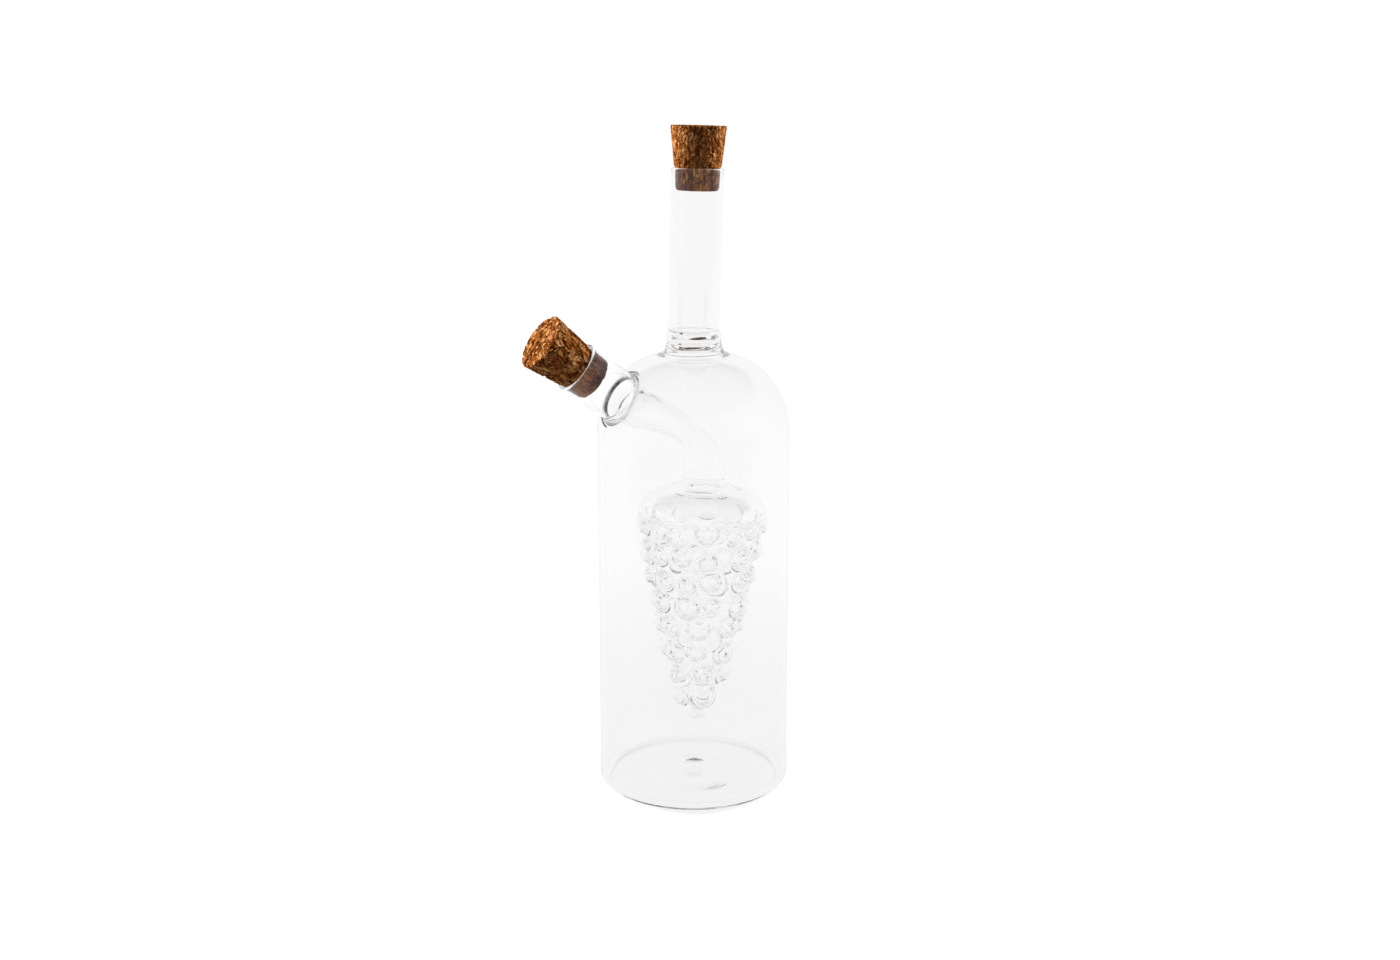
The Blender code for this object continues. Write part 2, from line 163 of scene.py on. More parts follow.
# How they crumble, in millimetres: loss all over, then what chips and grains take, and splits and furrows
CORK_LOSS = 0.08
CHIP_SIZE, CHIP_FROM, CHIP_DEPTH, CHIP_DEPTH_AT_EDGE = 3.6, 0.4, 0.1, 0.45
GRAIN_SIZE, GRAIN_FROM, GRAIN_DEPTH = 1.5, -0.5, 0.1
SPLIT_SIZE, SPLIT_WIDTH, SPLIT_DEPTH = 6.5, 0.42, 0.65
FURROW_SIZE, FURROW_WIDTH, FURROW_DEPTH = 4.0, 0.35, 0.4
SPLIT_STRETCH = (1.0, 1.0, 0.45)
CORK_EDGE_REACH = 1.3 * MM
CORK_HELD_SHARE = 0.4

TUBE_RADIUS = TUBE_BORE + TUBE_WALL
FEED_RADIUS = FEED_BORE + FEED_WALL
SHOULDER_REACH = BODY_RADIUS - TUBE_BORE
ACROSS = np.array([0.0, 1.0, 0.0])
NECK_AXIS = np.array([math.sin(NECK_LEAN), 0.0, math.cos(NECK_LEAN)])
NECK_CORK_PLACE = np.array([0.0, 0.0, NECK_PIVOT - NECK_CORK_DOWN]) + NECK_AXIS * (NECK_RIM - NECK_PIVOT)
SPOUT_AXIS = np.array([-math.cos(SPOUT_RISE), 0.0, math.sin(SPOUT_RISE)])
SPOUT_SIDE = np.cross(-SPOUT_AXIS, ACROSS)
SPOUT_SEAT = np.array([
    -TUBE_BORE - SHOULDER_REACH * math.cos(SEAT_ANGLE), 0.0,
    WALL_TOP + SHOULDER_HEIGHT * math.sin(SEAT_ANGLE),
])
VESSEL_AXIS = np.array([math.sin(VESSEL_LEAN), 0.0, math.cos(VESSEL_LEAN)])
VESSEL_SIDE = np.array([math.cos(VESSEL_LEAN), 0.0, -math.sin(VESSEL_LEAN)])
VESSEL_PLACE = np.array([VESSEL_OFFSET, 0.0, VESSEL_MOUTH])

# Outlines in millimetres: (radius, height) up the weld collar outside, and down it inside over two beads
COLLAR_OUTSIDE = (
    (13.1, 184.35), (12.7, 184.65), (12.4, 185.1), (12.1, 186.0), (11.75, 187.5), (11.35, 189.0),
    (11.15, 190.0), (11.55, 191.2), (11.45, 192.3), (10.75, 193.4), (10.5, 194.6), (10.5, 203.0),
)
COLLAR_INSIDE = (
    (9.3, 194.2), (8.6, 193.4), (8.2, 192.7), (8.5, 191.9), (9.3, 191.1), (9.4, 190.4), (8.5, 189.7),
    (8.2, 189.1), (8.5, 188.4), (9.6, 187.5), (10.8, 186.3), (11.6, 185.2), (12.4, 184.2),
)
# (distance along the spout's line, radius) down the steep step on the ring seal's thick side
SEAL_STEP = ((0.2, 9.3), (-1.4, 9.15), (-2.3, 8.6), (-3.2, 7.6), (-4.1, 6.75), (-5.3, 6.35))

# Ridges where the soft bottom was pressed flat: distance from the centre in millimetres, degrees round,
# half length in radians, then height and half width in millimetres. They stay on the inside of the
# bottom: within a radius and below a height.
BOTTOM_MARKS = (
    (12.7, 61.0, 0.22, 0.85, 0.85), (16.6, -83.0, 0.36, 0.62, 0.9), (18.7, -85.0, 0.36, 0.55, 0.9),
)
BOTTOM_MARKS_WITHIN = 34.0 * MM
BOTTOM_MARKS_TOP = 4.2 * MM

# The weld between neck and shoulder: its middle and reach, waves round it (share of the radius, number,
# start) and how far it tips
WELD_MIDDLE = 188.5 * MM
WELD_REACH = 4.5 * MM
WELD_WAVES = ((0.012, 1.0, 2.2), (0.008, 2.0, 0.6))
WELD_TIP = 0.35 * MM
WELD_TIP_START = 0.9
# Beads of glass inside it, in millimetres and degrees: height, depth, half height, way round, half width
WELD_BEADS = ((192.4, 0.9, 0.8, 258.0, 40.0), (188.6, 0.9, 0.9, 250.0, 50.0))
WELD_BEADS_WITHIN = TUBE_BORE + 0.9 * MM
WELD_BEADS_ABOVE = 183.0 * MM

# Marks of the paddle on the dome, in degrees and millimetres: way round from the front, radius, half
# length, depth. All of them are there again at each of these turns.
PADDLE_MARKS = (
    (-40.0, 14.4, 1.9, 0.9), (-9.0, 9.4, 4.0, 0.75), (1.0, 15.2, 2.8, 0.7),
    (29.0, 15.4, 1.8, 0.9), (-10.0, 24.0, 1.2, 0.55),
)
PADDLE_TURNS = (0.0, 140.0, 205.0)
PADDLE_EDGE = 0.6 * MM
PADDLE_REACH = DOME_FOOT - 1.5 * MM

# Widths over which the flame softens corners, and the pitch of the points along each softened line
COLLAR_MELT, COLLAR_PITCH = 0.28 * MM, 0.28 * MM
THROAT_MELT, THROAT_PITCH = 0.3 * MM, 0.3 * MM
SEAL_MELT, SEAL_PITCH = 0.35 * MM, 0.36 * MM
VESSEL_MELT, VESSEL_PITCH = 0.5 * MM, 0.43 * MM
CORK_MELT, CORK_PITCH = 0.1 * MM, 0.28 * MM
# How full the webs round the spout's foot and the seal's head are
SPOUT_WEB = 1.15
SEAL_WEB = 1.2

# How fine the surfaces are; the window is the part of the shoulder's grid that the spout goes through
COLUMNS = 192
WALL_ROWS = 52
CORNER_STEPS = 14
SHOULDER_ROWS = 48
SHOULDER_USED = 43
NECK_ROWS = 24
RIM_START, RIM_END = -25.0, 180.0
NECK_RIM_STEPS, SPOUT_RIM_STEPS = 18, 14
SPOUT_FOOT_ROWS, SPOUT_BORE_ROWS, SEAL_ROWS = 8, 14, 13
UNDERSIDE_RINGS = (1.5, 3.0, 5.0, 8.0, 11.0, 14.0, 17.0, 20.0, 23.0, 26.0, 29.0, 32.0, 34.0)
BOTTOM_RINGS = (*np.arange(34.5, 27.0, -1.5), *np.arange(26.5, 0.4, -0.5))
WINDOW_ROWS = (1, 34)
WINDOW_HALF = 17
WINDOW_COLUMNS = (COLUMNS // 2 - WINDOW_HALF, COLUMNS // 2 + WINDOW_HALF)
WINDOW_RINGS = 7
HOLE_SEARCH = (-20.0 * MM, 8.0 * MM)
HALVINGS = 48
WEB_RINGS = 7
PATH_STATIONS = 60
FEED_ROWS = 45
VESSEL_COLLAR_ROWS, DOME_ROWS, DOME_FOOT_ROWS, BUNCH_ROWS, TIP_ROWS = 12, 30, 8, 59, 11
DOME_START, TIP_END = 4.0, 88.0
VESSEL_COLUMNS = 330
TIP_COLUMNS = 110
TIP_COLUMNS_WITHIN = 8.0 * MM
BERRIES_BELOW = DOME_FOOT - 6.0 * MM
CORK_COLUMNS = 256

# The room: its front, where the picture is taken from, is 27 degrees round from -Y towards the spout
FRONT_TURN = math.radians(27.0)
FRONT = (-math.sin(FRONT_TURN), -math.cos(FRONT_TURN), 0.0)
CAMERA_AWAY = 690.74 * MM
CAMERA_HEIGHT = 297.42 * MM
CAMERA_PITCH = math.radians(11.36)
CAMERA_LENS = 43.73
CAMERA_SENSOR = 36.0
CAMERA_SHIFT = (0.0046, -0.0469)
# Name, side, power in watts, and how far behind the bottle's middle each lamp stands
SOFTBOXES = (("left_softbox", -1.0, 30.0, 0.25), ("right_softbox", 1.0, 22.0, 0.33))
SOFTBOX_SIZE = (0.4, 0.8)
SOFTBOX_AWAY = 0.95
SOFTBOX_HEIGHT = 0.5
SOFTBOX_AIM = Vector((0.0, 0.0, 0.2))
FLOOR_HALF_SIZE = 3.0
FLOOR_DROP = 0.05 * MM
# Light runs a long way inside the fused joints; stopped early, it would leave them black
GLASS_BOUNCES = 128
# Elevations between which the surround seen through the glass goes from white to a dark ceiling
CEILING_STARTS = math.radians(29.0)
CEILING_FULL = math.radians(39.0)
CEILING_GREY = "#303030"
WHITE = "#ffffff"
# What the paper throws back of the lamps: to the camera, through the glass, and to all else
PAPER_SEEN = "#767676"
PAPER_THROUGH = "#272727"
PAPER_PLAIN = "#a0a0a0"
# The surround's strength as a light, which fills the shadows
FILL_LIGHT = 0.1
# Levels at the back and at the front of the room, mirrored in the glass and seen through it, and where
# they begin and end: in the surround as cosines of the way round from the front, on the paper in metres
MIRRORED = (0.88, 0.3)
MIRRORED_ROUND, MIRRORED_ON_PAPER = (0.4, 0.9), (0.03, 0.35)
SEEN_THROUGH = (1.0, 0.92)
SEEN_THROUGH_ROUND, SEEN_THROUGH_ON_PAPER = (0.3, 0.9), (0.07, 0.35)
# The paper's glow near the bottle and far from it, and between which distances it changes: to the camera,
# and through the glass
GLOW_SEEN, GLOW_SEEN_BETWEEN = (0.86, 1.0), (0.15, 0.7)
GLOW_THROUGH, GLOW_THROUGH_BETWEEN = (0.93, 1.0), (0.08, 0.4)

# Numbers of the two finishes on the glass and on each cork
DRAWN, LAMPBLOWN = 0, 1
# The cork's oiled finish is darker both for oil and as painted shade for the glass around it
DRY, OILED_AND_SHADED = 0, 1


# Meshes

class Skin:
    """Points and faces of one closed surface, laid ring by ring; a face has the finish set before it."""

    def __init__(self):
        self.points = []
        self.faces = []
        self.finishes = []
        self.finish = 0

    def ring(self, points):
        first = len(self.points)
        self.points.extend(points)
        return list(range(first, len(self.points)))

    def face(self, *corners):
        self.faces.append(corners)
        self.finishes.append(self.finish)

    def band(self, low, high):
        for a, b, c, d in zip(low, low[1:] + low[:1], high[1:] + high[:1], high):
            self.face(a, b, c, d)

    def cap(self, ring, point):
        centre = len(self.points)
        self.points.append(point)
        for a, b in zip(ring, ring[1:] + ring[:1]):
            self.face(a, b, centre)

    def stitch(self, low, low_turns, high, high_turns):
        """A band between rings with different points, each given by how far round it lies, from 0 to 1."""
        i = 0
        j = 0
        while i < len(low) or j < len(high):
            next_low = low_turns[i + 1] if i + 1 < len(low) else 1.0 + low_turns[0]
            next_high = high_turns[j + 1] if j + 1 < len(high) else 1.0 + high_turns[0]
            step_low = j == len(high) or (i < len(low) and next_low <= next_high)
            if step_low:
                self.face(low[i], low[(i + 1) % len(low)], high[j % len(high)])
                i += 1
            else:
                self.face(low[i % len(low)], high[(j + 1) % len(high)], high[j])
                j += 1

    def object(self, name):
        """The surface as a smooth-shaded object, without points that no face uses."""
        used = sorted({i for face in self.faces for i in face})
        number = {old: new for new, old in enumerate(used)}
        mesh = bpy.data.meshes.new(name)
        points = [tuple(float(v) for v in self.points[i]) for i in used]
        mesh.from_pydata(points, [], [tuple(number[i] for i in face) for face in self.faces])
        shape = bmesh.new()
        shape.from_mesh(mesh)
        bmesh.ops.recalc_face_normals(shape, faces=shape.faces)
        shape.to_mesh(mesh)
        shape.free()
        mesh.shade_smooth()
        mesh.polygons.foreach_set("material_index", self.finishes)
        made = bpy.data.objects.new(name, mesh)
        bpy.context.scene.collection.objects.link(made)
        return made


def in_metres(points):
    return [(a * MM, b * MM) for a, b in points]


def turned(radius, z, turn):
    """A ring of points round the Z axis."""
    return np.stack([radius * np.cos(turn), radius * np.sin(turn), np.full(len(turn), z)], axis=1)


def unit(rows):
    """Rows scaled to length 1."""
    return rows / np.linalg.norm(rows, axis=1)[:, None]


def lengths_along(points):
    return np.concatenate([[0.0], np.cumsum(np.linalg.norm(np.diff(points, axis=0), axis=1))])


def resample(points, step):
    """Points spread evenly along a line of (r, z) points."""
    points = np.array(points, float)
    lengths = lengths_along(points)
    count = max(2, int(round(lengths[-1] / step)) + 1)
    at = np.linspace(0.0, lengths[-1], count)
    return np.stack([np.interp(at, lengths, points[:, k]) for k in range(2)], axis=1)


def melt(points, width, step):
    """Softens a line's corners over a width, as the flame does, and spreads its points evenly."""
    fine = width / 4.0
    line = resample(points, fine)
    reach = int(3.0 * width / fine)
    weights = np.exp(-0.5 * (np.arange(-reach, reach + 1) * fine / width) ** 2)
    weights /= weights.sum()
    start = 2.0 * line[0] - line[reach:0:-1]
    end = 2.0 * line[-1] - line[-2:-reach - 2:-1]
    padded = np.concatenate([start, line, end])
    soft = np.stack([np.convolve(padded[:, k], weights, "valid") for k in range(2)], axis=1)
    soft[0] = line[0]
    soft[-1] = line[-1]
    return resample(soft, step)


def smooth_step(t):
    t = np.clip(t, 0.0, 1.0)
    return t * t * (3.0 - 2.0 * t)


# Glass: the body and neck are turned; the window in the shoulder takes the spout

def arc(centre, radius, start, end, steps):
    angles = np.radians(np.linspace(start, end, steps + 1))
    return np.stack([centre[0] + radius * np.cos(angles), centre[1] + radius * np.sin(angles)], axis=1)


def shoulder_point(angle, inset):
    """(r, z) on the oval shoulder, or inset from it by the wall."""
    r = TUBE_BORE + (SHOULDER_REACH - inset) * np.cos(angle)
    return r, WALL_TOP + (SHOULDER_HEIGHT - inset) * np.sin(angle)


def body_rows():
    """The turned outline, underside to rim to inside bottom, and the rows where both shoulders start."""
    shoulder_angles = np.radians(np.arange(1, SHOULDER_USED + 1) * 90.0 / SHOULDER_ROWS)
    rows = []
    for r in UNDERSIDE_RINGS:
        share = min(1.0, r * MM / BASE_HOLLOW_RADIUS)
        rows.append((r * MM, BASE_HOLLOW * (1.0 - share ** 2) ** 2))
    corner = (BODY_RADIUS - BASE_CORNER, BASE_CORNER)
    rows += list(arc(corner, BASE_CORNER, -90.0, 0.0, CORNER_STEPS))
    rows += [(BODY_RADIUS, z) for z in np.linspace(BASE_CORNER, WALL_TOP, WALL_ROWS)[1:]]
    outer_start = len(rows) - 1
    rows += [shoulder_point(angle, 0.0) for angle in shoulder_angles]
    rows += list(melt([rows[-1]] + in_metres(COLLAR_OUTSIDE), COLLAR_MELT, COLLAR_PITCH))[1:]
    rows += [(TUBE_RADIUS, z) for z in np.linspace(rows[-1][1], NECK_RIM - LIP_TAKES_OUTSIDE, NECK_ROWS)[1:]]
    rows += list(arc((TUBE_BORE + LIP, NECK_RIM - LIP), LIP, RIM_START, RIM_END, NECK_RIM_STEPS))
    rows += [(TUBE_BORE, z) for z in np.linspace(NECK_RIM - LIP_TAKES_INSIDE, NECK_INSIDE_FOOT, NECK_ROWS)]
    throat = [rows[-1]] + in_metres(COLLAR_INSIDE) + [shoulder_point(shoulder_angles[-1], BODY_WALL)]
    rows += list(melt(throat, THROAT_MELT, THROAT_PITCH))[1:]
    rows += [shoulder_point(angle, BODY_WALL) for angle in shoulder_angles[-2::-1]]
    rows.append(shoulder_point(0.0, BODY_WALL))
    inner_start = len(rows) - 1
    bore = BODY_RADIUS - BODY_WALL
    inside = (bore - BASE_INSIDE_CORNER, BASE_THICKNESS + BASE_INSIDE_CORNER)
    rows += [(bore, z) for z in np.linspace(WALL_TOP, inside[1], WALL_ROWS)[1:]]
    rows += list(arc(inside, BASE_INSIDE_CORNER, 0.0, -90.0, CORNER_STEPS))[1:]
    for r in BOTTOM_RINGS:
        rows.append((r * MM, BASE_THICKNESS + BASE_DROP * math.exp(-((r * MM / BASE_DROP_RADIUS) ** 2))))
    return rows, outer_start, inner_start


def uneven_bottom(points):
    """Raises low ridges on the inside of the bottom."""
    x, y, z = points.T
    away = np.hypot(x, y)
    on_floor = (z > BASE_HOLLOW) & (z < BOTTOM_MARKS_TOP) & (away < BOTTOM_MARKS_WITHIN)
    raised = np.zeros(len(points))
    for radius, degrees, half_length, high, wide in BOTTOM_MARKS:
        across = (away / MM - radius) / wide
        along = (np.arctan2(y, x) - math.radians(degrees)) / half_length
        raised += high * MM * np.exp(-across ** 2 - along ** 2)
    return np.stack([x, y, z + np.where(on_floor, raised, 0.0)], axis=1)


def uneven_weld(points):
    """The weld ring between neck and shoulder: fuller on one side, its glass gathered in beads inside."""
    points = np.array(points)
    turn = np.arctan2(points[:, 1], points[:, 0])
    share = np.exp(-(((points[:, 2] - WELD_MIDDLE) / WELD_REACH) ** 2))
    fuller = 1.0 + share * sum(part * np.sin(number * turn + start) for part, number, start in WELD_WAVES)
    radius = np.hypot(points[:, 0], points[:, 1])
    if radius[0] < WELD_BEADS_WITHIN and points[0, 2] > WELD_BEADS_ABOVE:
        for height, deep, half_height, degrees, half_width in WELD_BEADS:
            off = (np.degrees(turn) - degrees + 180.0) % 360.0 - 180.0
            bead = np.exp(-((off / half_width) ** 2))
            bead *= np.exp(-(((points[:, 2] - height * MM) / (half_height * MM)) ** 2))
            fuller -= deep * MM * bead / radius
    points[:, :2] *= fuller[:, None]
    points[:, 2] += share * WELD_TIP * np.sin(turn + WELD_TIP_START)
    return points


def lean(points):
    """Leans what is above the collar away from the spout, bending over the collar's height."""
    rise = points[:, 2] - NECK_PIVOT
    angle = NECK_LEAN * smooth_step(rise / NECK_BEND + 0.5)
    leaned = points.copy()
    leaned[:, 0] = points[:, 0] * np.cos(angle) + rise * np.sin(angle)
    leaned[:, 2] = NECK_PIVOT - points[:, 0] * np.sin(angle) + rise * np.cos(angle)
    return leaned


def window_loop():
    """Row and column numbers round the window's edge."""
    (low, high), (left, right) = WINDOW_ROWS, WINDOW_COLUMNS
    loop = [(low, j) for j in range(left, right + 1)]
    loop += [(i, right) for i in range(low + 1, high + 1)]
    loop += [(high, j) for j in range(right - 1, left - 1, -1)]
    loop += [(i, left) for i in range(high - 1, low, -1)]
    return loop


def shoulder_surface(turn, angle, inset):
    """Points on the shoulder at angles round the bottle and up the oval."""
    r, z = shoulder_point(angle, inset)
    return np.stack([r * np.cos(turn), r * np.sin(turn), z], axis=-1)


def around_spout(points):
    """How far round the spout's axis each point lies, in turns."""
    offset = points - SPOUT_SEAT
    return (np.arctan2(offset @ SPOUT_SIDE, offset @ ACROSS) / WHOLE_TURN) % 1.0


def outwards(turns):
    """Unit directions away from the spout's axis."""
    angle = WHOLE_TURN * turns
    return np.cos(angle)[:, None] * ACROSS + np.sin(angle)[:, None] * SPOUT_SIDE


def hole_edge(turns, radius, inset):
    """Angles (round, up) of the shoulder's points at a radius from the spout's axis, found by halving."""
    side = outwards(turns)
    low = np.full(len(turns), HOLE_SEARCH[0])
    high = np.full(len(turns), HOLE_SEARCH[1])
    for _ in range(HALVINGS):
        middle = (low + high) / 2.0
        point = SPOUT_SEAT + radius * side + middle[:, None] * SPOUT_AXIS
        r = np.hypot(point[:, 0], point[:, 1])
        across = (r - TUBE_BORE) / (SHOULDER_REACH - inset)
        up = (point[:, 2] - WALL_TOP) / (SHOULDER_HEIGHT - inset)
        outside = across ** 2 + up ** 2 > 1.0
        high = np.where(outside, middle, high)
        low = np.where(outside, low, middle)
    return np.arctan2(point[:, 1], point[:, 0]) % WHOLE_TURN, np.arctan2(up, across)


def open_window(skin, grid, first_row, radius, inset):
    """Rings from the window's edge to a round hole; returns the last ring, its turns and its inward run."""
    loop = window_loop()
    edge = [grid[first_row + i * (1 if inset == 0.0 else -1)][j] for i, j in loop]
    turn = WHOLE_TURN * np.array([j for _, j in loop]) / COLUMNS
    angle = np.radians(90.0 / SHOULDER_ROWS) * np.array([i for i, _ in loop])
    turns = around_spout(shoulder_surface(turn, angle, inset))
    if (np.diff(turns) < 0.0).sum() > len(turns) / 2:
        edge, turn, angle, turns = edge[::-1], turn[::-1], angle[::-1], turns[::-1]
    first = int(np.argmin(turns))
    edge = edge[first:] + edge[:first]
    turn, angle, turns = (np.roll(v, -first) for v in (turn, angle, turns))
    hole_turn, hole_angle = hole_edge(turns, radius, inset)
    ring = edge
    points = None
    for k in range(1, WINDOW_RINGS + 1):
        share = k / WINDOW_RINGS
        before = points
        points = shoulder_surface(
            turn + (hole_turn - turn) * share, angle + (hole_angle - angle) * share, inset)
        new = skin.ring(points)
        skin.band(ring, new)
        ring = new
    return ring, points, turns, unit(points - before)


# Glass: the line through the spout, the feed tube and the vessel's mouth

def path_table():
    """The feed tube's centre line, run, pinch and length at even stations."""
    start = SPOUT_SEAT - SPOUT_AXIS * SEAL_INSIDE
    end = VESSEL_PLACE + VESSEL_AXIS * VESSEL_COLLAR_TOP
    first = start + np.array([math.cos(FEED_FALL), 0.0, -math.sin(FEED_FALL)]) * FEED_START_REACH
    second = end + VESSEL_AXIS * FEED_END_REACH
    t = np.linspace(0.0, 1.0, PATH_STATIONS + 1)[:, None]
    u = 1.0 - t
    points = start * u ** 3 + first * 3.0 * t * u ** 2 + second * 3.0 * t ** 2 * u + end * t ** 3
    run = unit((first - start) * u ** 2 + (second - first) * 2.0 * t * u + (end - second) * t ** 2)
    share = smooth_step(t / FEED_TURNED)
    run = unit(-SPOUT_AXIS * (1.0 - share) + run * share)
    return points, run, FEED_PINCH * np.sin(math.pi * t[:, 0]) ** 2, lengths_along(points)


PATH_POINTS, PATH_RUN, PATH_PINCH, PATH_LENGTHS = path_table()
PATH_LENGTH = PATH_LENGTHS[-1]


def line_ring(distance, radius, turns):
    """Points round the spout's line; distance is 0 on the shoulder, positive outwards, negative inside."""
    inside = -SEAL_INSIDE - distance
    if inside <= 0.0:
        centre, run, pinch = SPOUT_SEAT + SPOUT_AXIS * distance, -SPOUT_AXIS, 0.0
    elif inside >= PATH_LENGTH:
        centre = PATH_POINTS[-1] - VESSEL_AXIS * (inside - PATH_LENGTH)
        run, pinch = -VESSEL_AXIS, 0.0
    else:
        centre = np.array([np.interp(inside, PATH_LENGTHS, PATH_POINTS[:, k]) for k in range(3)])
        run = np.array([np.interp(inside, PATH_LENGTHS, PATH_RUN[:, k]) for k in range(3)])
        run /= np.linalg.norm(run)
        pinch = np.interp(inside, PATH_LENGTHS, PATH_PINCH)
    angle = WHOLE_TURN * np.asarray(turns)
    up = np.cross(run, ACROSS)
    return (centre + (radius * np.cos(angle))[:, None] * ACROSS
            + ((radius - pinch) * np.sin(angle))[:, None] * up)


def web(skin, ring, points, runs, end_points, end_run, full):
    """A smooth web from a ring with its runs to the end points, arriving along one direction."""
    chord = np.linalg.norm(end_points - points, axis=1)[:, None] * full
    for k in range(1, WEB_RINGS + 1):
        t = k / WEB_RINGS
        leave, leave_run = 2.0 * t ** 3 - 3.0 * t ** 2 + 1.0, t ** 3 - 2.0 * t ** 2 + t
        arrive, arrive_run = -2.0 * t ** 3 + 3.0 * t ** 2, t ** 3 - t ** 2
        new = skin.ring(leave * points + leave_run * chord * runs
                        + arrive * end_points + arrive_run * chord * end_run)
        skin.band(ring, new)
        ring = new
    return ring


def follow(skin, ring, turns, stations):
    """Bands through rings at (distance, radius) stations along the spout's line."""
    for distance, radius in stations:
        new = skin.ring(line_ring(distance, radius, turns))
        skin.band(ring, new)
        ring = new
    return ring


def thick_side(turns):
    """The share, from 0 to 1, that each way round has of the ring seal's thick side, at the back."""
    return 0.5 + 0.5 * np.cos(WHOLE_TURN * turns - SEAL_THICK_SIDE)


def spout_outside(skin, ring, points, turns, runs):
    """From the shoulder up the spout, over its rim and down its bore to the vessel's mouth."""
    foot = line_ring(SPOUT_FOOT, TUBE_RADIUS + SPOUT_FLARE, turns)
    ring = web(skin, ring, points, runs, foot, SPOUT_AXIS, SPOUT_WEB)
    rim = SPOUT_REACH - LIP
    line = [(SPOUT_FOOT + s * SPOUT_FLARE_LENGTH, TUBE_RADIUS + SPOUT_FLARE * (1.0 - smooth_step(s)))
            for s in np.linspace(0.0, 1.0, SPOUT_FOOT_ROWS + 1)[1:]]
    line.append((rim - SPOUT_LIP_TAKES_OUTSIDE, TUBE_RADIUS))
    line += [(z, r) for r, z in arc((TUBE_BORE + LIP, rim), LIP, RIM_START, RIM_END, SPOUT_RIM_STEPS)]
    bore_top = rim - SPOUT_LIP_TAKES_INSIDE
    line += [(z, TUBE_BORE) for z in np.linspace(bore_top, SPOUT_BORE_FOOT, SPOUT_BORE_ROWS)]
    step = [line[-1]] + in_metres(SEAL_STEP) + [(-SEAL_INSIDE, SEAL_BORE)]
    thick = thick_side(turns)
    for z, r in melt(step, SEAL_MELT, SEAL_PITCH)[1:]:
        down = min(1.0, max(0.0, (-FUNNEL_TOP - z) / FUNNEL_LENGTH))
        funnel = FEED_BORE + (TUBE_BORE - FEED_BORE) * (1.0 - down) ** FUNNEL_CURVE
        line.append((z, funnel + (r - funnel) * thick))
    for inside in np.linspace(0.0, PATH_LENGTH, FEED_ROWS + 1)[1:]:
        narrow = (FEED_BORE - SEAL_BORE) * (1.0 - smooth_step(inside / FEED_OPENS_OVER))
        line.append((-SEAL_INSIDE - inside, FEED_BORE - narrow * thick))
    return follow(skin, ring, turns, line)


def seal_inside(skin, ring, points, turns, runs):
    """From the inside of the shoulder down the ring seal, a funnel with a rounded thick side, and along
    the feed tube."""
    side = outwards(turns)
    top = (points - SPOUT_SEAT) @ SPOUT_AXIS + SEAL_TOP
    end = SPOUT_SEAT + SEAL_RADIUS * side + top[:, None] * SPOUT_AXIS
    ring = web(skin, ring, points, runs, end, -SPOUT_AXIS, SEAL_WEB)
    thick = thick_side(turns)
    foot_radius = FEED_RADIUS + SEAL_FOOT_FULLER
    for t in np.linspace(0.0, 1.0, SEAL_ROWS + 1)[1:]:
        funnel, rounded = (1.0 - t) ** FUNNEL_CURVE, math.cos(0.5 * math.pi * t)
        radius = foot_radius + (SEAL_RADIUS - foot_radius) * (funnel + (rounded - funnel) * thick)
        level = top + (-SEAL_FOOT - top) * (t + (math.sin(0.5 * math.pi * t) - t) * thick)
        new = skin.ring(SPOUT_SEAT + radius[:, None] * side + level[:, None] * SPOUT_AXIS)
        skin.band(ring, new)
        ring = new
    stations = [SEAL_RUNS_OUT]
    stations += [(-SEAL_INSIDE - inside, FEED_RADIUS) for inside in
                 np.linspace(FEED_PLAIN_FROM, PATH_LENGTH, FEED_ROWS)]
    return follow(skin, ring, turns, stations)


# Glass: the grape vessel

def bunch_radius(depth):
    """Radius of the circle of berry centres: a taper to the tip with a slight belly."""
    share = (TIP_DEPTH - depth) / (TIP_DEPTH - TOP_ROW)
    taper = BUNCH_TIP_RADIUS + (BUNCH_TOP_RADIUS - BUNCH_TIP_RADIUS) * share
    return taper + 4.0 * BUNCH_BELLY * share * (1.0 - share)


def vessel_line():
    """(r, depth) down the vessel's core, from the feed tube's end over the weld ring and dome to the tip."""
    line = [(FEED_RADIUS, -VESSEL_COLLAR_TOP)]
    line += [(FEED_RADIUS + VESSEL_COLLAR_BULGE * math.sin(math.pi * math.sqrt(t)),
              -VESSEL_COLLAR_FOOT - VESSEL_COLLAR_HEIGHT * t)
             for t in np.linspace(1.0, 0.0, VESSEL_COLLAR_ROWS)]
    line.append((FEED_RADIUS, DOME_TOP - DOME_LIFTS_OVER))
    for turn in np.radians(np.linspace(DOME_START, 90.0, DOME_ROWS)):
        line.append((FEED_RADIUS + (DOME_RADIUS - FEED_RADIUS) * math.sin(turn),
                     DOME_FOOT - (DOME_FOOT - DOME_TOP) * math.cos(turn)))
    foot = BUNCH_TOP_RADIUS + BERRY_SUNK
    for s in np.linspace(0.0, 1.0, DOME_FOOT_ROWS + 1)[1:]:
        line.append((DOME_RADIUS + (foot - DOME_RADIUS) * smooth_step(s),
                     DOME_FOOT + (TOP_ROW - DOME_FOOT) * s))
    for depth in np.linspace(TOP_ROW, TIP_DEPTH, BUNCH_ROWS + 1)[1:]:
        line.append((bunch_radius(depth) + BERRY_SUNK, depth))
    tip = BUNCH_TIP_RADIUS + BERRY_SUNK
    for a in np.radians(np.linspace(0.0, TIP_END, TIP_ROWS + 1)[1:]):
        line.append((tip * math.cos(a), TIP_DEPTH + tip * math.sin(a)))
    return melt(line, VESSEL_MELT, VESSEL_PITCH)


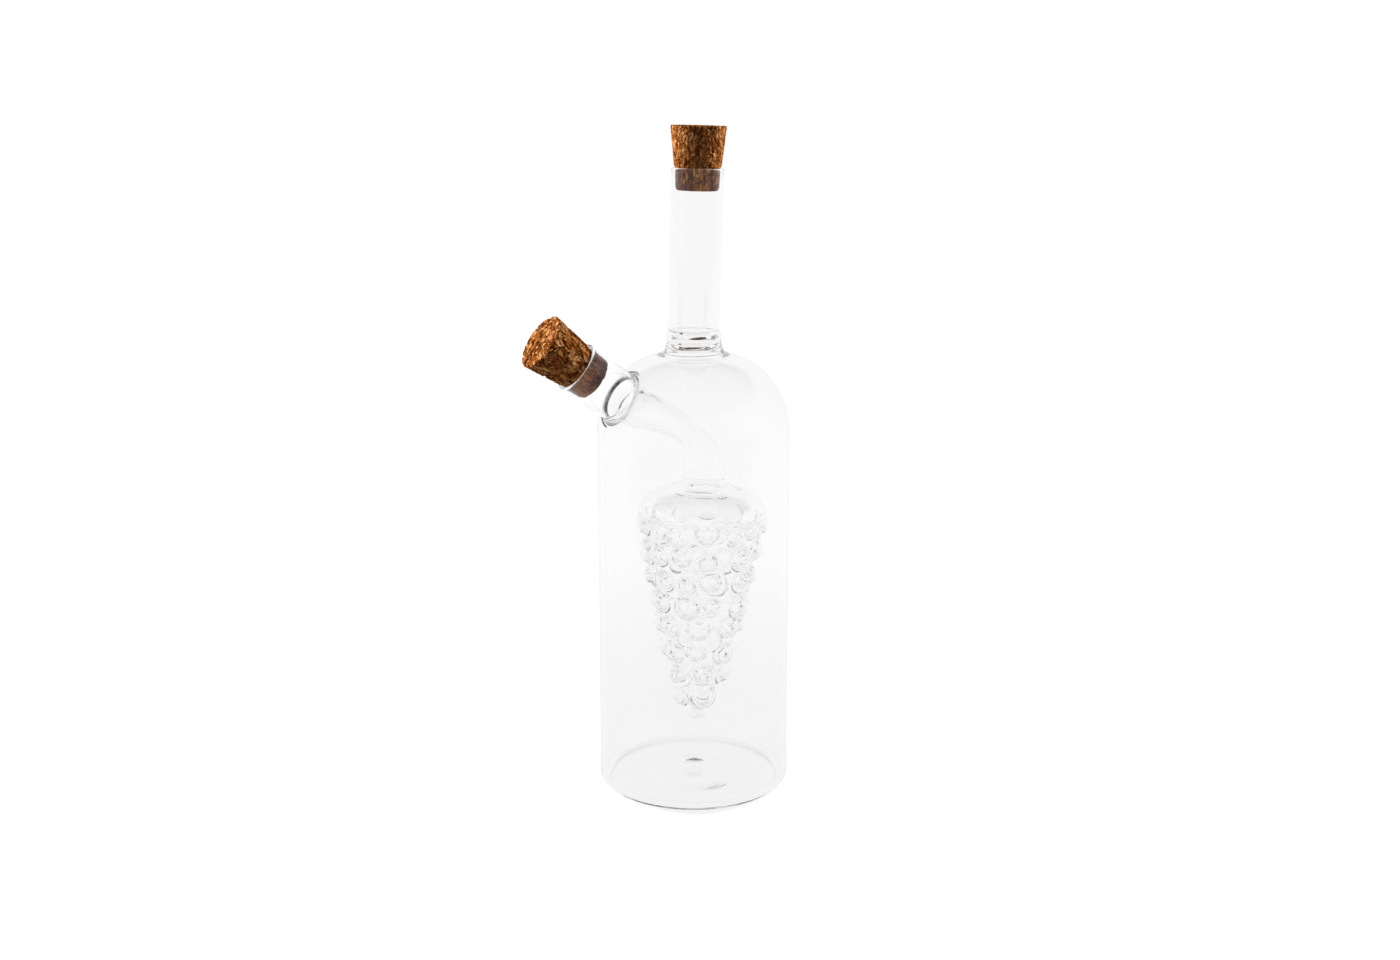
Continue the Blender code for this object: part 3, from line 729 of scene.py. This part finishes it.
def berries():
    """Centre, radius and foot of each berry in the vessel's own frame, uneven as they were blown by hand.

    The foot is how much thicker the berry's glass is where it leaves the vessel than at its end."""
    uneven = np.random.RandomState(BERRY_SEED)
    found = [(0.0, 0.0, -TIP_DEPTH, BERRY_RADIUS - BERRY_SINK, 0.0)]
    depth = TOP_ROW
    ahead = 0.0
    while depth < TIP_DEPTH - ROW_PITCH / 2.0:
        radius = bunch_radius(depth)
        count = max(FEWEST_BERRIES, round(WHOLE_TURN * radius / BERRY_SPACING))
        for k in range(count):
            slip, out, drop, size, thick = uneven.uniform(-1.0, 1.0, 5)
            angle = WHOLE_TURN * (ahead + (k + BERRY_SLIP * slip) / count)
            r = radius - BERRY_SINK + BERRY_OUT * out
            found.append((r * math.cos(angle), r * math.sin(angle), -depth + BERRY_DROP * drop,
                          BERRY_RADIUS + BERRY_SWELL * size, BERRY_FOOT + BERRY_FOOT_UNEVEN * thick))
        ahead += 0.5 / count
        depth += ROW_PITCH
    return np.array(found)


def swell(points, normals, inset, crease):
    """How far each point moves out to lie on the berries, with the creases between them softened."""
    total = np.ones(len(points))
    for x, y, z, radius, foot in berries():
        if inset:
            away = foot / max(math.hypot(x, y), MM)
            x, y, radius = x * (1.0 + away), y * (1.0 + away), radius - foot
        to_centre = np.array([x, y, z]) - points
        along = np.einsum("ij,ij->i", to_centre, normals)
        miss = np.einsum("ij,ij->i", to_centre, to_centre) - along ** 2
        inside = (radius - inset) ** 2 - miss
        far = along + np.sqrt(np.maximum(inside, 0.0))
        total += np.where(inside > 0.0, np.exp(np.minimum(far / crease, 60.0)), 0.0)
    return crease * np.log(total)


def paddle_marks(points):
    """How far the dome's inside is pressed in at each point."""
    front = 1.5 * math.pi - FRONT_TURN
    near = points[:, 2] > -PADDLE_REACH
    pressed = np.zeros(len(points))
    for again in PADDLE_TURNS:
        for degrees, radius, half_length, deep in PADDLE_MARKS:
            turn = front + math.radians(degrees + again)
            out = np.array([math.cos(turn), math.sin(turn)])
            offset = points[:, :2] - radius * MM * out
            across = offset @ np.array([-out[1], out[0]]) / (half_length * MM)
            along = offset @ out / PADDLE_EDGE
            pressed += np.where(near, deep * MM * np.exp(-across ** 2 - along ** 2), 0.0)
    return pressed


def vessel_skin(skin, ring, turns, core_inset, berry_inset, crease):
    """One skin of the vessel, hung on the feed tube's last ring; the insets are 0 for the outer one."""
    line = vessel_line()
    run = unit(np.gradient(line, axis=0))
    for i in range(1, len(line)):
        radius, depth = line[i]
        wide = radius > TIP_COLUMNS_WITHIN or depth < TOP_ROW
        columns = VESSEL_COLUMNS if wide else TIP_COLUMNS
        now = (np.arange(columns) + 0.5) / columns
        round_x, round_y = np.sin(WHOLE_TURN * now), np.cos(WHOLE_TURN * now)
        local = np.stack([radius * round_x, radius * round_y, np.full(columns, -depth)], axis=1)
        normal = np.stack([run[i, 1] * round_x, run[i, 1] * round_y, np.full(columns, run[i, 0])], axis=1)
        if core_inset:
            inset = FEED_WALL + (core_inset - FEED_WALL) * smooth_step(depth / DOME_FOOT)
            local = local - normal * inset
            local = local - normal * paddle_marks(local)[:, None]
        if depth > BERRIES_BELOW:
            local = local + normal * swell(local, normal, berry_inset, crease)[:, None]
        new = skin.ring(VESSEL_PLACE + local[:, :1] * VESSEL_SIDE + local[:, 1:2] * ACROSS
                        + local[:, 2:] * VESSEL_AXIS)
        if i > 1 and columns == len(ring):
            skin.band(ring, new)
        else:
            skin.stitch(ring, turns, new, now)
        ring, turns = new, now
    tip = VESSEL_PLACE - VESSEL_AXIS * (TIP_DEPTH + BERRY_RADIUS - BERRY_SINK - berry_inset)
    skin.cap(ring, tip)


def bottle_glass():
    """The whole fused bottle as one closed surface: drawn tube, and lampwork from the spout inwards."""
    skin = Skin()
    rows, outer_start, inner_start = body_rows()
    turn = WHOLE_TURN * np.arange(COLUMNS) / COLUMNS
    grid = [skin.ring(lean(uneven_weld(uneven_bottom(turned(r, z, turn))))) for r, z in rows]
    (low, high), (left, right) = WINDOW_ROWS, WINDOW_COLUMNS
    for i, (a, b) in enumerate(zip(grid, grid[1:])):
        in_outer = outer_start + low <= i < outer_start + high
        in_inner = inner_start - high <= i < inner_start - low
        for j in range(COLUMNS):
            if (in_outer or in_inner) and left <= j < right:
                continue
            k = (j + 1) % COLUMNS
            skin.face(a[j], a[k], b[k], b[j])
    skin.cap(grid[0], (0.0, 0.0, BASE_HOLLOW))
    skin.cap(grid[-1], (0.0, 0.0, BASE_THICKNESS + BASE_DROP))
    ring, points, turns, runs = open_window(skin, grid, outer_start, SPOUT_HOLE, 0.0)
    skin.finish = LAMPBLOWN
    ring = spout_outside(skin, ring, points, turns, runs)
    vessel_skin(skin, ring, turns, VESSEL_WALL, BERRY_WALL, CREASE_INSIDE)
    skin.finish = DRAWN
    ring, points, turns, runs = open_window(skin, grid, inner_start, SEAL_HOLE, BODY_WALL)
    skin.finish = LAMPBLOWN
    ring = seal_inside(skin, ring, points, turns, runs)
    vessel_skin(skin, ring, turns, 0.0, 0.0, CREASE_OUTSIDE)
    return skin.object("bottle_glass")


# Corks

def waves(seed, wavelength, count=40):
    """A smooth, fixed noise about 1 high: plane waves of one wavelength in all directions."""
    picked = np.random.RandomState(seed)
    way = picked.normal(size=(count, 3))
    way *= WHOLE_TURN / wavelength / np.linalg.norm(way, axis=1)[:, None]
    phase = picked.uniform(0.0, WHOLE_TURN, count)
    return lambda points: np.sin(points @ way.T + phase).sum(axis=1) / math.sqrt(count / 2.0)


def split(noise, points, width, deep):
    """How deep the skin is split where a noise passes through 0; splits run along the cork."""
    return np.maximum(0.0, 1.0 - np.abs(noise(points * SPLIT_STRETCH)) / width) * deep


def cork_piece(name, seed, place, axis, sizes, tilt, broken):
    """A tapered cork round its own axis, rim level at z = 0; its skin and edges only crumble inwards."""
    proud, sunk, top = (v * MM for v in sizes)
    held = TUBE_BORE - CORK_SLACK
    outline = [
        (0.0, proud), (top - CORK_BEVEL, proud), (top, proud - CORK_BEVEL), (held + 0.55 * MM, 1.0 * MM),
        (held, 0.0), (held, -0.8 * MM), (held - 0.25 * MM, 1.2 * MM - sunk),
        (held - 0.6 * MM, 0.4 * MM - sunk), (held - 1.1 * MM, -sunk), (0.0, -sunk),
    ]
    rows = melt(outline, CORK_MELT, CORK_PITCH)
    run = unit(np.gradient(rows, axis=0))
    turn = WHOLE_TURN * np.arange(CORK_COLUMNS) / CORK_COLUMNS
    chips, grains, splits, furrows = (
        waves(seed + k, size * MM) for k, size in enumerate((CHIP_SIZE, GRAIN_SIZE, SPLIT_SIZE, FURROW_SIZE)))
    side = np.cross(ACROSS, axis)
    skin = Skin()
    ring = None
    for (r, z), (along_r, along_z) in zip(rows[1:-1], run[1:-1]):
        points = turned(r, z, turn)
        out = turned(-along_z, along_r, turn)
        edge = math.exp(-(((r - top) ** 2 + (z - proud) ** 2) / CORK_EDGE_REACH ** 2))
        worn = (CORK_LOSS
                + np.maximum(chips(points) - CHIP_FROM, 0.0) * (CHIP_DEPTH + CHIP_DEPTH_AT_EDGE * edge)
                + np.maximum(grains(points), GRAIN_FROM) * GRAIN_DEPTH)
        cracked = (split(splits, points, SPLIT_WIDTH, SPLIT_DEPTH)
                   + split(furrows, points, FURROW_WIDTH, FURROW_DEPTH))
        depth = (worn + cracked * broken) * (1.0 if z > CORK_HELD_BELOW else CORK_HELD_SHARE)
        points = points - out * np.maximum(depth, 0.0)[:, None] * MM
        points[:, 2] += tilt * points[:, 0] * smooth_step(z / proud)
        new = skin.ring(place + points[:, :1] * side + points[:, 1:2] * ACROSS + points[:, 2:] * axis)
        if ring is None:
            skin.cap(new, place + (proud - CORK_TOP_HOLLOW) * axis)
        else:
            # Below the rim the oiled finish, whose darker colour is partly oil and partly painted shade
            skin.finish = OILED_AND_SHADED if z < CORK_OILED_AND_SHADED_BELOW else DRY
            skin.band(ring, new)
        ring = new
    skin.cap(ring, place - (sunk - CORK_FOOT_HOLLOW) * axis)
    return skin.object(name)


# Materials

def linear(code):
    """An sRGB hex colour as the linear values that the shaders take."""
    values = [int(code[i:i + 2], 16) / 255.0 for i in (1, 3, 5)]
    return tuple(v / 12.92 if v <= 0.04045 else ((v + 0.055) / 1.055) ** 2.4 for v in values) + (1.0,)


def empty_tree(owner):
    """The node tree of a material or world, without the nodes that it comes with."""
    owner.use_nodes = True
    owner.node_tree.nodes.clear()
    return owner.node_tree


def add(tree, kind, links=None, **settings):
    """Adds a node, sets its properties, and sets or links its inputs."""
    made = tree.nodes.new(kind)
    for name, value in settings.items():
        setattr(made, name, value)
    for key, value in (links or {}).items():
        if isinstance(value, bpy.types.NodeSocket):
            tree.links.new(value, made.inputs[key])
        else:
            made.inputs[key].default_value = value
    return made


# Waves in the glass; what it reflects of a white wall, and the grey that it turns where it is thick
RIPPLE_LENGTH = 22.0 * MM
RIPPLE_HEIGHT = 0.12 * MM
GLASS_IOR = 1.474
GLASS_GLEAM = "#dadada"
GLASS_GREY = "#808080"


def borosilicate(name, colour):
    """Borosilicate glass, drawn or blown and fire-polished: clear, with sharp bright edges, grey only where
    it is thick, and bent a little by the faint waves that turning it in the flame leaves."""
    made = bpy.data.materials.new(name)
    tree = empty_tree(made)
    out = add(tree, "ShaderNodeOutputMaterial")
    place = add(tree, "ShaderNodeTexCoord")
    ripple = add(tree, "ShaderNodeTexNoise", {
        "Vector": place.outputs["Object"], "Scale": 1.0 / RIPPLE_LENGTH, "Detail": 1.0, "Roughness": 0.4})
    bump = add(tree, "ShaderNodeBump", {
        "Height": ripple.outputs["Fac"], "Strength": 0.35, "Distance": RIPPLE_HEIGHT})
    shader = add(tree, "ShaderNodeBsdfPrincipled", {
        "Base Color": linear(colour), "Roughness": 0.0, "IOR": GLASS_IOR, "Transmission Weight": 1.0,
        "Specular Tint": linear(GLASS_GLEAM), "Normal": bump.outputs["Normal"]})
    tint = add(tree, "ShaderNodeVolumeAbsorption", {"Color": linear(GLASS_GREY), "Density": 1.5})
    tree.links.new(shader.outputs[0], out.inputs["Surface"])
    tree.links.new(tint.outputs[0], out.inputs["Volume"])
    return made


# Pressed cork: how far its chips lie along the cork, their crumbs against them, and its finest grain
CHIP_LONG = 0.65
CHIP_WAVER = 1.6 * MM
CHIP_SHIFT = (1.1 * MM, 1.1 * MM, 1.6 * MM)
CRUMB_SIZE = 0.53
PATCH_SIZE = 3.2
CORK_GRAIN = 0.45 * MM
CORK_RELIEF = 0.25 * MM
# Shares of crumbs, grain and patches in the chips' browns, and the gaps' width as a share of a chip
CRUMBS_IN, GRAIN_IN, PATCHES_IN = 0.42, 0.4, 0.28
GAP_WIDTH = 0.07
CORK_BROWNS = ((0.24, "#2e1203"), (0.38, "#66330f"), (0.5, "#985722"), (0.62, "#bd8045"), (0.75, "#dcae7e"))
CORK_GAPS = "#241004"


def pressed_cork(name, share, size, axis):
    """Pressed cork, cut to a taper: chips of bark as large as size, lying along the cork, each its own
    brown, with dark gaps between them and a fine, dry, matt grain. The share of each colour that is left
    tells dry cork from cork that oil has darkened; that darker share is also painted shade, for the dimmer
    light on the cork inside the glass."""
    made = bpy.data.materials.new(name)
    tree = empty_tree(made)
    out = add(tree, "ShaderNodeOutputMaterial")
    place = add(tree, "ShaderNodeTexCoord")
    waver = add(tree, "ShaderNodeTexNoise", {
        "Vector": place.outputs["Object"], "Scale": 1.0 / CHIP_WAVER, "Detail": 2.0})
    shift = add(tree, "ShaderNodeVectorMath", {0: waver.outputs["Color"], 1: CHIP_SHIFT},
                operation="MULTIPLY")
    moved = add(tree, "ShaderNodeVectorMath", {0: place.outputs["Object"], 1: shift.outputs[0]},
                operation="ADD")
    along = add(tree, "ShaderNodeVectorMath", {0: moved.outputs[0], 1: tuple(axis)},
                operation="DOT_PRODUCT")
    back = add(tree, "ShaderNodeVectorMath", {0: tuple(-CHIP_LONG * axis), 3: along.outputs["Value"]},
               operation="SCALE")
    drawn = add(tree, "ShaderNodeVectorMath", {0: moved.outputs[0], 1: back.outputs[0]}, operation="ADD")
    chips = add(tree, "ShaderNodeTexVoronoi", {"Vector": drawn.outputs[0], "Scale": 1.0 / size})
    gaps = add(tree, "ShaderNodeTexVoronoi", {"Vector": drawn.outputs[0], "Scale": 1.0 / size},
               feature="DISTANCE_TO_EDGE")
    crumbs = add(tree, "ShaderNodeTexVoronoi", {
        "Vector": moved.outputs[0], "Scale": 1.0 / (CRUMB_SIZE * size)})
    grain = add(tree, "ShaderNodeTexNoise", {
        "Vector": place.outputs["Object"], "Scale": 1.0 / CORK_GRAIN, "Detail": 3.0, "Roughness": 0.7})
    patches = add(tree, "ShaderNodeTexNoise", {
        "Vector": moved.outputs[0], "Scale": 1.0 / (PATCH_SIZE * size), "Detail": 1.0})
    chip = add(tree, "ShaderNodeSeparateColor", {"Color": chips.outputs["Color"]})
    crumb = add(tree, "ShaderNodeSeparateColor", {"Color": crumbs.outputs["Color"]})
    bits = add(tree, "ShaderNodeMix", {0: CRUMBS_IN, 2: chip.outputs[0], 3: crumb.outputs[1]})
    rough = add(tree, "ShaderNodeMix", {0: GRAIN_IN, 2: bits.outputs[0], 3: grain.outputs["Fac"]})
    blotchy = add(tree, "ShaderNodeMix", {0: PATCHES_IN, 2: rough.outputs[0], 3: patches.outputs["Fac"]})
    tone = add(tree, "ShaderNodeValToRGB", {"Fac": blotchy.outputs[0]})
    for position, _ in CORK_BROWNS[1:-1]:
        tone.color_ramp.elements.new(position)
    for element, (position, colour) in zip(tone.color_ramp.elements, CORK_BROWNS):
        element.position = position
        element.color = tuple(v * w for v, w in zip(linear(colour), share)) + (1.0,)
    chipped = add(tree, "ShaderNodeMapRange", {"Value": gaps.outputs["Distance"], "From Max": GAP_WIDTH})
    bark = add(tree, "ShaderNodeMix", {
        0: chipped.outputs[0], 6: linear(CORK_GAPS), 7: tone.outputs["Color"]}, data_type="RGBA")
    height = add(tree, "ShaderNodeMath", {0: chipped.outputs[0], 1: rough.outputs[0]}, operation="ADD")
    bump = add(tree, "ShaderNodeBump", {
        "Height": height.outputs[0], "Strength": 0.9, "Distance": CORK_RELIEF})
    shader = add(tree, "ShaderNodeBsdfPrincipled", {
        "Base Color": bark.outputs[2], "Roughness": 0.9, "Specular IOR Level": 0.08,
        "Normal": bump.outputs["Normal"]})
    tree.links.new(shader.outputs[0], out.inputs["Surface"])
    return made


# Studio

def white_surround():
    """A white world that lights the bottle plainly. In the glass it has a dark ceiling, which draws the
    edges, and what the glass mirrors is darker at the room's front, away from the paper."""
    world = bpy.data.worlds.new("white_surround")
    bpy.context.scene.world = world
    tree = empty_tree(world)
    out = add(tree, "ShaderNodeOutputWorld")
    path = add(tree, "ShaderNodeLightPath")
    place = add(tree, "ShaderNodeTexCoord")
    height = add(tree, "ShaderNodeSeparateXYZ", {"Vector": place.outputs["Generated"]})
    towards = add(tree, "ShaderNodeVectorMath", {0: place.outputs["Generated"], 1: FRONT},
                  operation="DOT_PRODUCT")
    mirrored, behind = (
        add(tree, "ShaderNodeMapRange", {
            "Value": towards.outputs["Value"], "From Min": start, "From Max": end,
            "To Min": levels[0], "To Max": levels[1]}, interpolation_type="SMOOTHSTEP")
        for (start, end), levels in ((MIRRORED_ROUND, MIRRORED), (SEEN_THROUGH_ROUND, SEEN_THROUGH)))
    ceiling = add(tree, "ShaderNodeValToRGB", {"Fac": height.outputs["Z"]})
    for element, elevation, grey in zip(
            ceiling.color_ramp.elements, (CEILING_STARTS, CEILING_FULL), (WHITE, CEILING_GREY)):
        element.position = math.sin(elevation)
        element.color = linear(grey)
    through = add(tree, "ShaderNodeMix", {
        0: 1.0, 6: ceiling.outputs["Color"], 7: behind.outputs["Result"]}, data_type="RGBA",
        blend_type="MULTIPLY")
    level = add(tree, "ShaderNodeMix", {
        0: path.outputs["Is Transmission Ray"], 6: mirrored.outputs["Result"], 7: through.outputs[2]},
        data_type="RGBA")
    in_glass = add(tree, "ShaderNodeMath", {
        0: path.outputs["Is Glossy Ray"], 1: path.outputs["Is Transmission Ray"]}, operation="MAXIMUM")
    light, shown, white = (
        add(tree, "ShaderNodeBackground", {"Color": colour, "Strength": strength}).outputs[0]
        for colour, strength in (
            (linear(WHITE), FILL_LIGHT), (level.outputs[2], 1.0), (linear(WHITE), 1.0)))
    rest = add(tree, "ShaderNodeMixShader", {0: in_glass.outputs[0], 1: light, 2: shown})
    whole = add(tree, "ShaderNodeMixShader", {0: path.outputs["Is Camera Ray"], 1: rest.outputs[0], 2: white})
    tree.links.new(whole.outputs[0], out.inputs["Surface"])


def white_paper():
    """Matt white background paper, lit so that it goes over into the surround: it keeps a soft shadow under
    the bottle, and in the glass it has the surround's levels."""
    paper = bpy.data.materials.new("white_paper")
    tree = empty_tree(paper)
    out = add(tree, "ShaderNodeOutputMaterial")
    path = add(tree, "ShaderNodeLightPath")
    place = add(tree, "ShaderNodeTexCoord")
    away = add(tree, "ShaderNodeVectorMath", {0: place.outputs["Object"]}, operation="LENGTH")
    towards = add(tree, "ShaderNodeVectorMath", {0: place.outputs["Object"], 1: FRONT},
                  operation="DOT_PRODUCT")
    # What it glows with: to the camera, through the glass (two, multiplied), and mirrored in the glass
    seen, behind, near, mirrored = (
        add(tree, "ShaderNodeMapRange", {
            "Value": measure.outputs["Value"], "From Min": start, "From Max": end,
            "To Min": levels[0], "To Max": levels[1]}, interpolation_type="SMOOTHSTEP").outputs["Result"]
        for measure, (start, end), levels in (
            (away, GLOW_SEEN_BETWEEN, GLOW_SEEN), (towards, SEEN_THROUGH_ON_PAPER, SEEN_THROUGH),
            (away, GLOW_THROUGH_BETWEEN, GLOW_THROUGH), (towards, MIRRORED_ON_PAPER, MIRRORED)))
    through = add(tree, "ShaderNodeMath", {0: behind, 1: near}, operation="MULTIPLY").outputs[0]
    seen_glow, through_glow, mirrored_glow = (
        add(tree, "ShaderNodeEmission", {"Color": linear(WHITE), "Strength": level}).outputs[0]
        for level in (seen, through, mirrored))
    seen_sheet, through_sheet, plain = (
        add(tree, "ShaderNodeBsdfDiffuse", {"Color": linear(grey)}).outputs[0]
        for grey in (PAPER_SEEN, PAPER_THROUGH, PAPER_PLAIN))
    seen, through = (
        add(tree, "ShaderNodeAddShader", {0: glow, 1: sheet}).outputs[0]
        for glow, sheet in ((seen_glow, seen_sheet), (through_glow, through_sheet)))
    in_glass = add(tree, "ShaderNodeMath", {
        0: path.outputs["Is Glossy Ray"], 1: path.outputs["Is Transmission Ray"]}, operation="MAXIMUM")
    glassy = add(tree, "ShaderNodeMixShader", {
        0: path.outputs["Is Transmission Ray"], 1: mirrored_glow, 2: through})
    rest = add(tree, "ShaderNodeMixShader", {0: in_glass.outputs[0], 1: plain, 2: glassy.outputs[0]})
    whole = add(tree, "ShaderNodeMixShader", {
        0: path.outputs["Is Camera Ray"], 1: rest.outputs[0], 2: seen})
    tree.links.new(whole.outputs[0], out.inputs["Surface"])
    return paper


def studio():
    """A white floor and surround, and two soft side lamps that neither the floor nor the glass mirrors."""
    scene = bpy.context.scene
    scene.view_settings.view_transform = "Standard"
    scene.cycles.max_bounces = GLASS_BOUNCES
    scene.cycles.glossy_bounces = GLASS_BOUNCES
    scene.cycles.transmission_bounces = GLASS_BOUNCES
    white_surround()
    skin = Skin()
    half = FLOOR_HALF_SIZE
    skin.face(*skin.ring([(-half, -half, 0.0), (half, -half, 0.0), (half, half, 0.0), (-half, half, 0.0)]))
    floor = skin.object("floor")
    floor.location.z = -FLOOR_DROP
    floor.data.materials.append(white_paper())
    for name, side, power, back in SOFTBOXES:
        light = bpy.data.lights.new(name, "AREA")
        light.shape = "RECTANGLE"
        light.size, light.size_y = SOFTBOX_SIZE
        light.energy = power
        lamp = bpy.data.objects.new(name, light)
        x, y = side * SOFTBOX_AWAY, back
        lamp.location = (x * math.cos(FRONT_TURN) + y * math.sin(FRONT_TURN),
                         -x * math.sin(FRONT_TURN) + y * math.cos(FRONT_TURN), SOFTBOX_HEIGHT)
        lamp.rotation_mode = "QUATERNION"
        lamp.rotation_quaternion = (SOFTBOX_AIM - lamp.location).to_track_quat("-Z", "Y")
        lamp.visible_glossy = False
        lamp.visible_transmission = False
        scene.collection.objects.link(lamp)


def camera():
    """The photograph's view: 27 degrees round towards the spout, looking a little down."""
    lens = bpy.data.cameras.new("camera")
    lens.lens = CAMERA_LENS
    lens.sensor_width = CAMERA_SENSOR
    lens.shift_x, lens.shift_y = CAMERA_SHIFT
    made = bpy.data.objects.new("camera", lens)
    made.location = (FRONT[0] * CAMERA_AWAY, FRONT[1] * CAMERA_AWAY, CAMERA_HEIGHT)
    made.rotation_euler = (math.pi / 2.0 - CAMERA_PITCH, 0.0, -FRONT_TURN)
    bpy.context.scene.collection.objects.link(made)
    bpy.context.scene.camera = made


# Each cork's height above the rim, depth in the tube and top radius in millimetres, the slope of its top and
# how broken its skin is; then its grade, the size of its chips, and what is left of its colour in the tube:
# darkened by oil, and also painted shade for the dimmer light on it inside the glass
CORK_DRY = (1.06, 1.06, 1.12)
NECK_CORK = ((17.0, 9.0, 11.5), 0.0, 0.15)
NECK_CORK_STUFF = ("fine", 0.95 * MM, (1.0, 0.86, 0.5))
SPOUT_CORK = ((18.6, 9.6, 11.8), 0.04, 1.0)
SPOUT_CORK_STUFF = ("coarse", 1.7 * MM, (0.74, 0.58, 0.3))


def main():
    camera()
    studio()
    glass = bottle_glass()
    glass.data.materials.append(borosilicate("drawn_borosilicate_tube", "#fcfcfc"))
    glass.data.materials.append(borosilicate("lampblown_borosilicate", "#ffffff"))
    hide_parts("body_shell", "neck_collar", "neck_tube", "spout_ring_seal", "spout_tube",
                "feed_tube", "vessel_collar", "grape_vessel")
    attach(glass, "bottle")
    neck = cork_piece("cork_of_neck", 3, NECK_CORK_PLACE, NECK_AXIS, *NECK_CORK)
    spout = cork_piece("cork_of_spout", 8, SPOUT_SEAT + SPOUT_AXIS * SPOUT_REACH, SPOUT_AXIS, *SPOUT_CORK)
    for piece, node, body, axis, (grade, chip, oiled_and_shaded) in (
        (neck, "neck_cork", "neck_stopper", NECK_AXIS, NECK_CORK_STUFF),
        (spout, "spout_cork", "spout_stopper", SPOUT_AXIS, SPOUT_CORK_STUFF),
    ):
        piece.data.materials.append(pressed_cork(grade + "_pressed_cork", CORK_DRY, chip, axis))
        # The part in the tube: cork darkened by oil, with painted shade for the light the glass holds back
        piece.data.materials.append(pressed_cork(grade + "_pressed_cork_darkened_by_oil", oiled_and_shaded, chip, axis))
        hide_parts(node)
        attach(piece, body)


main()
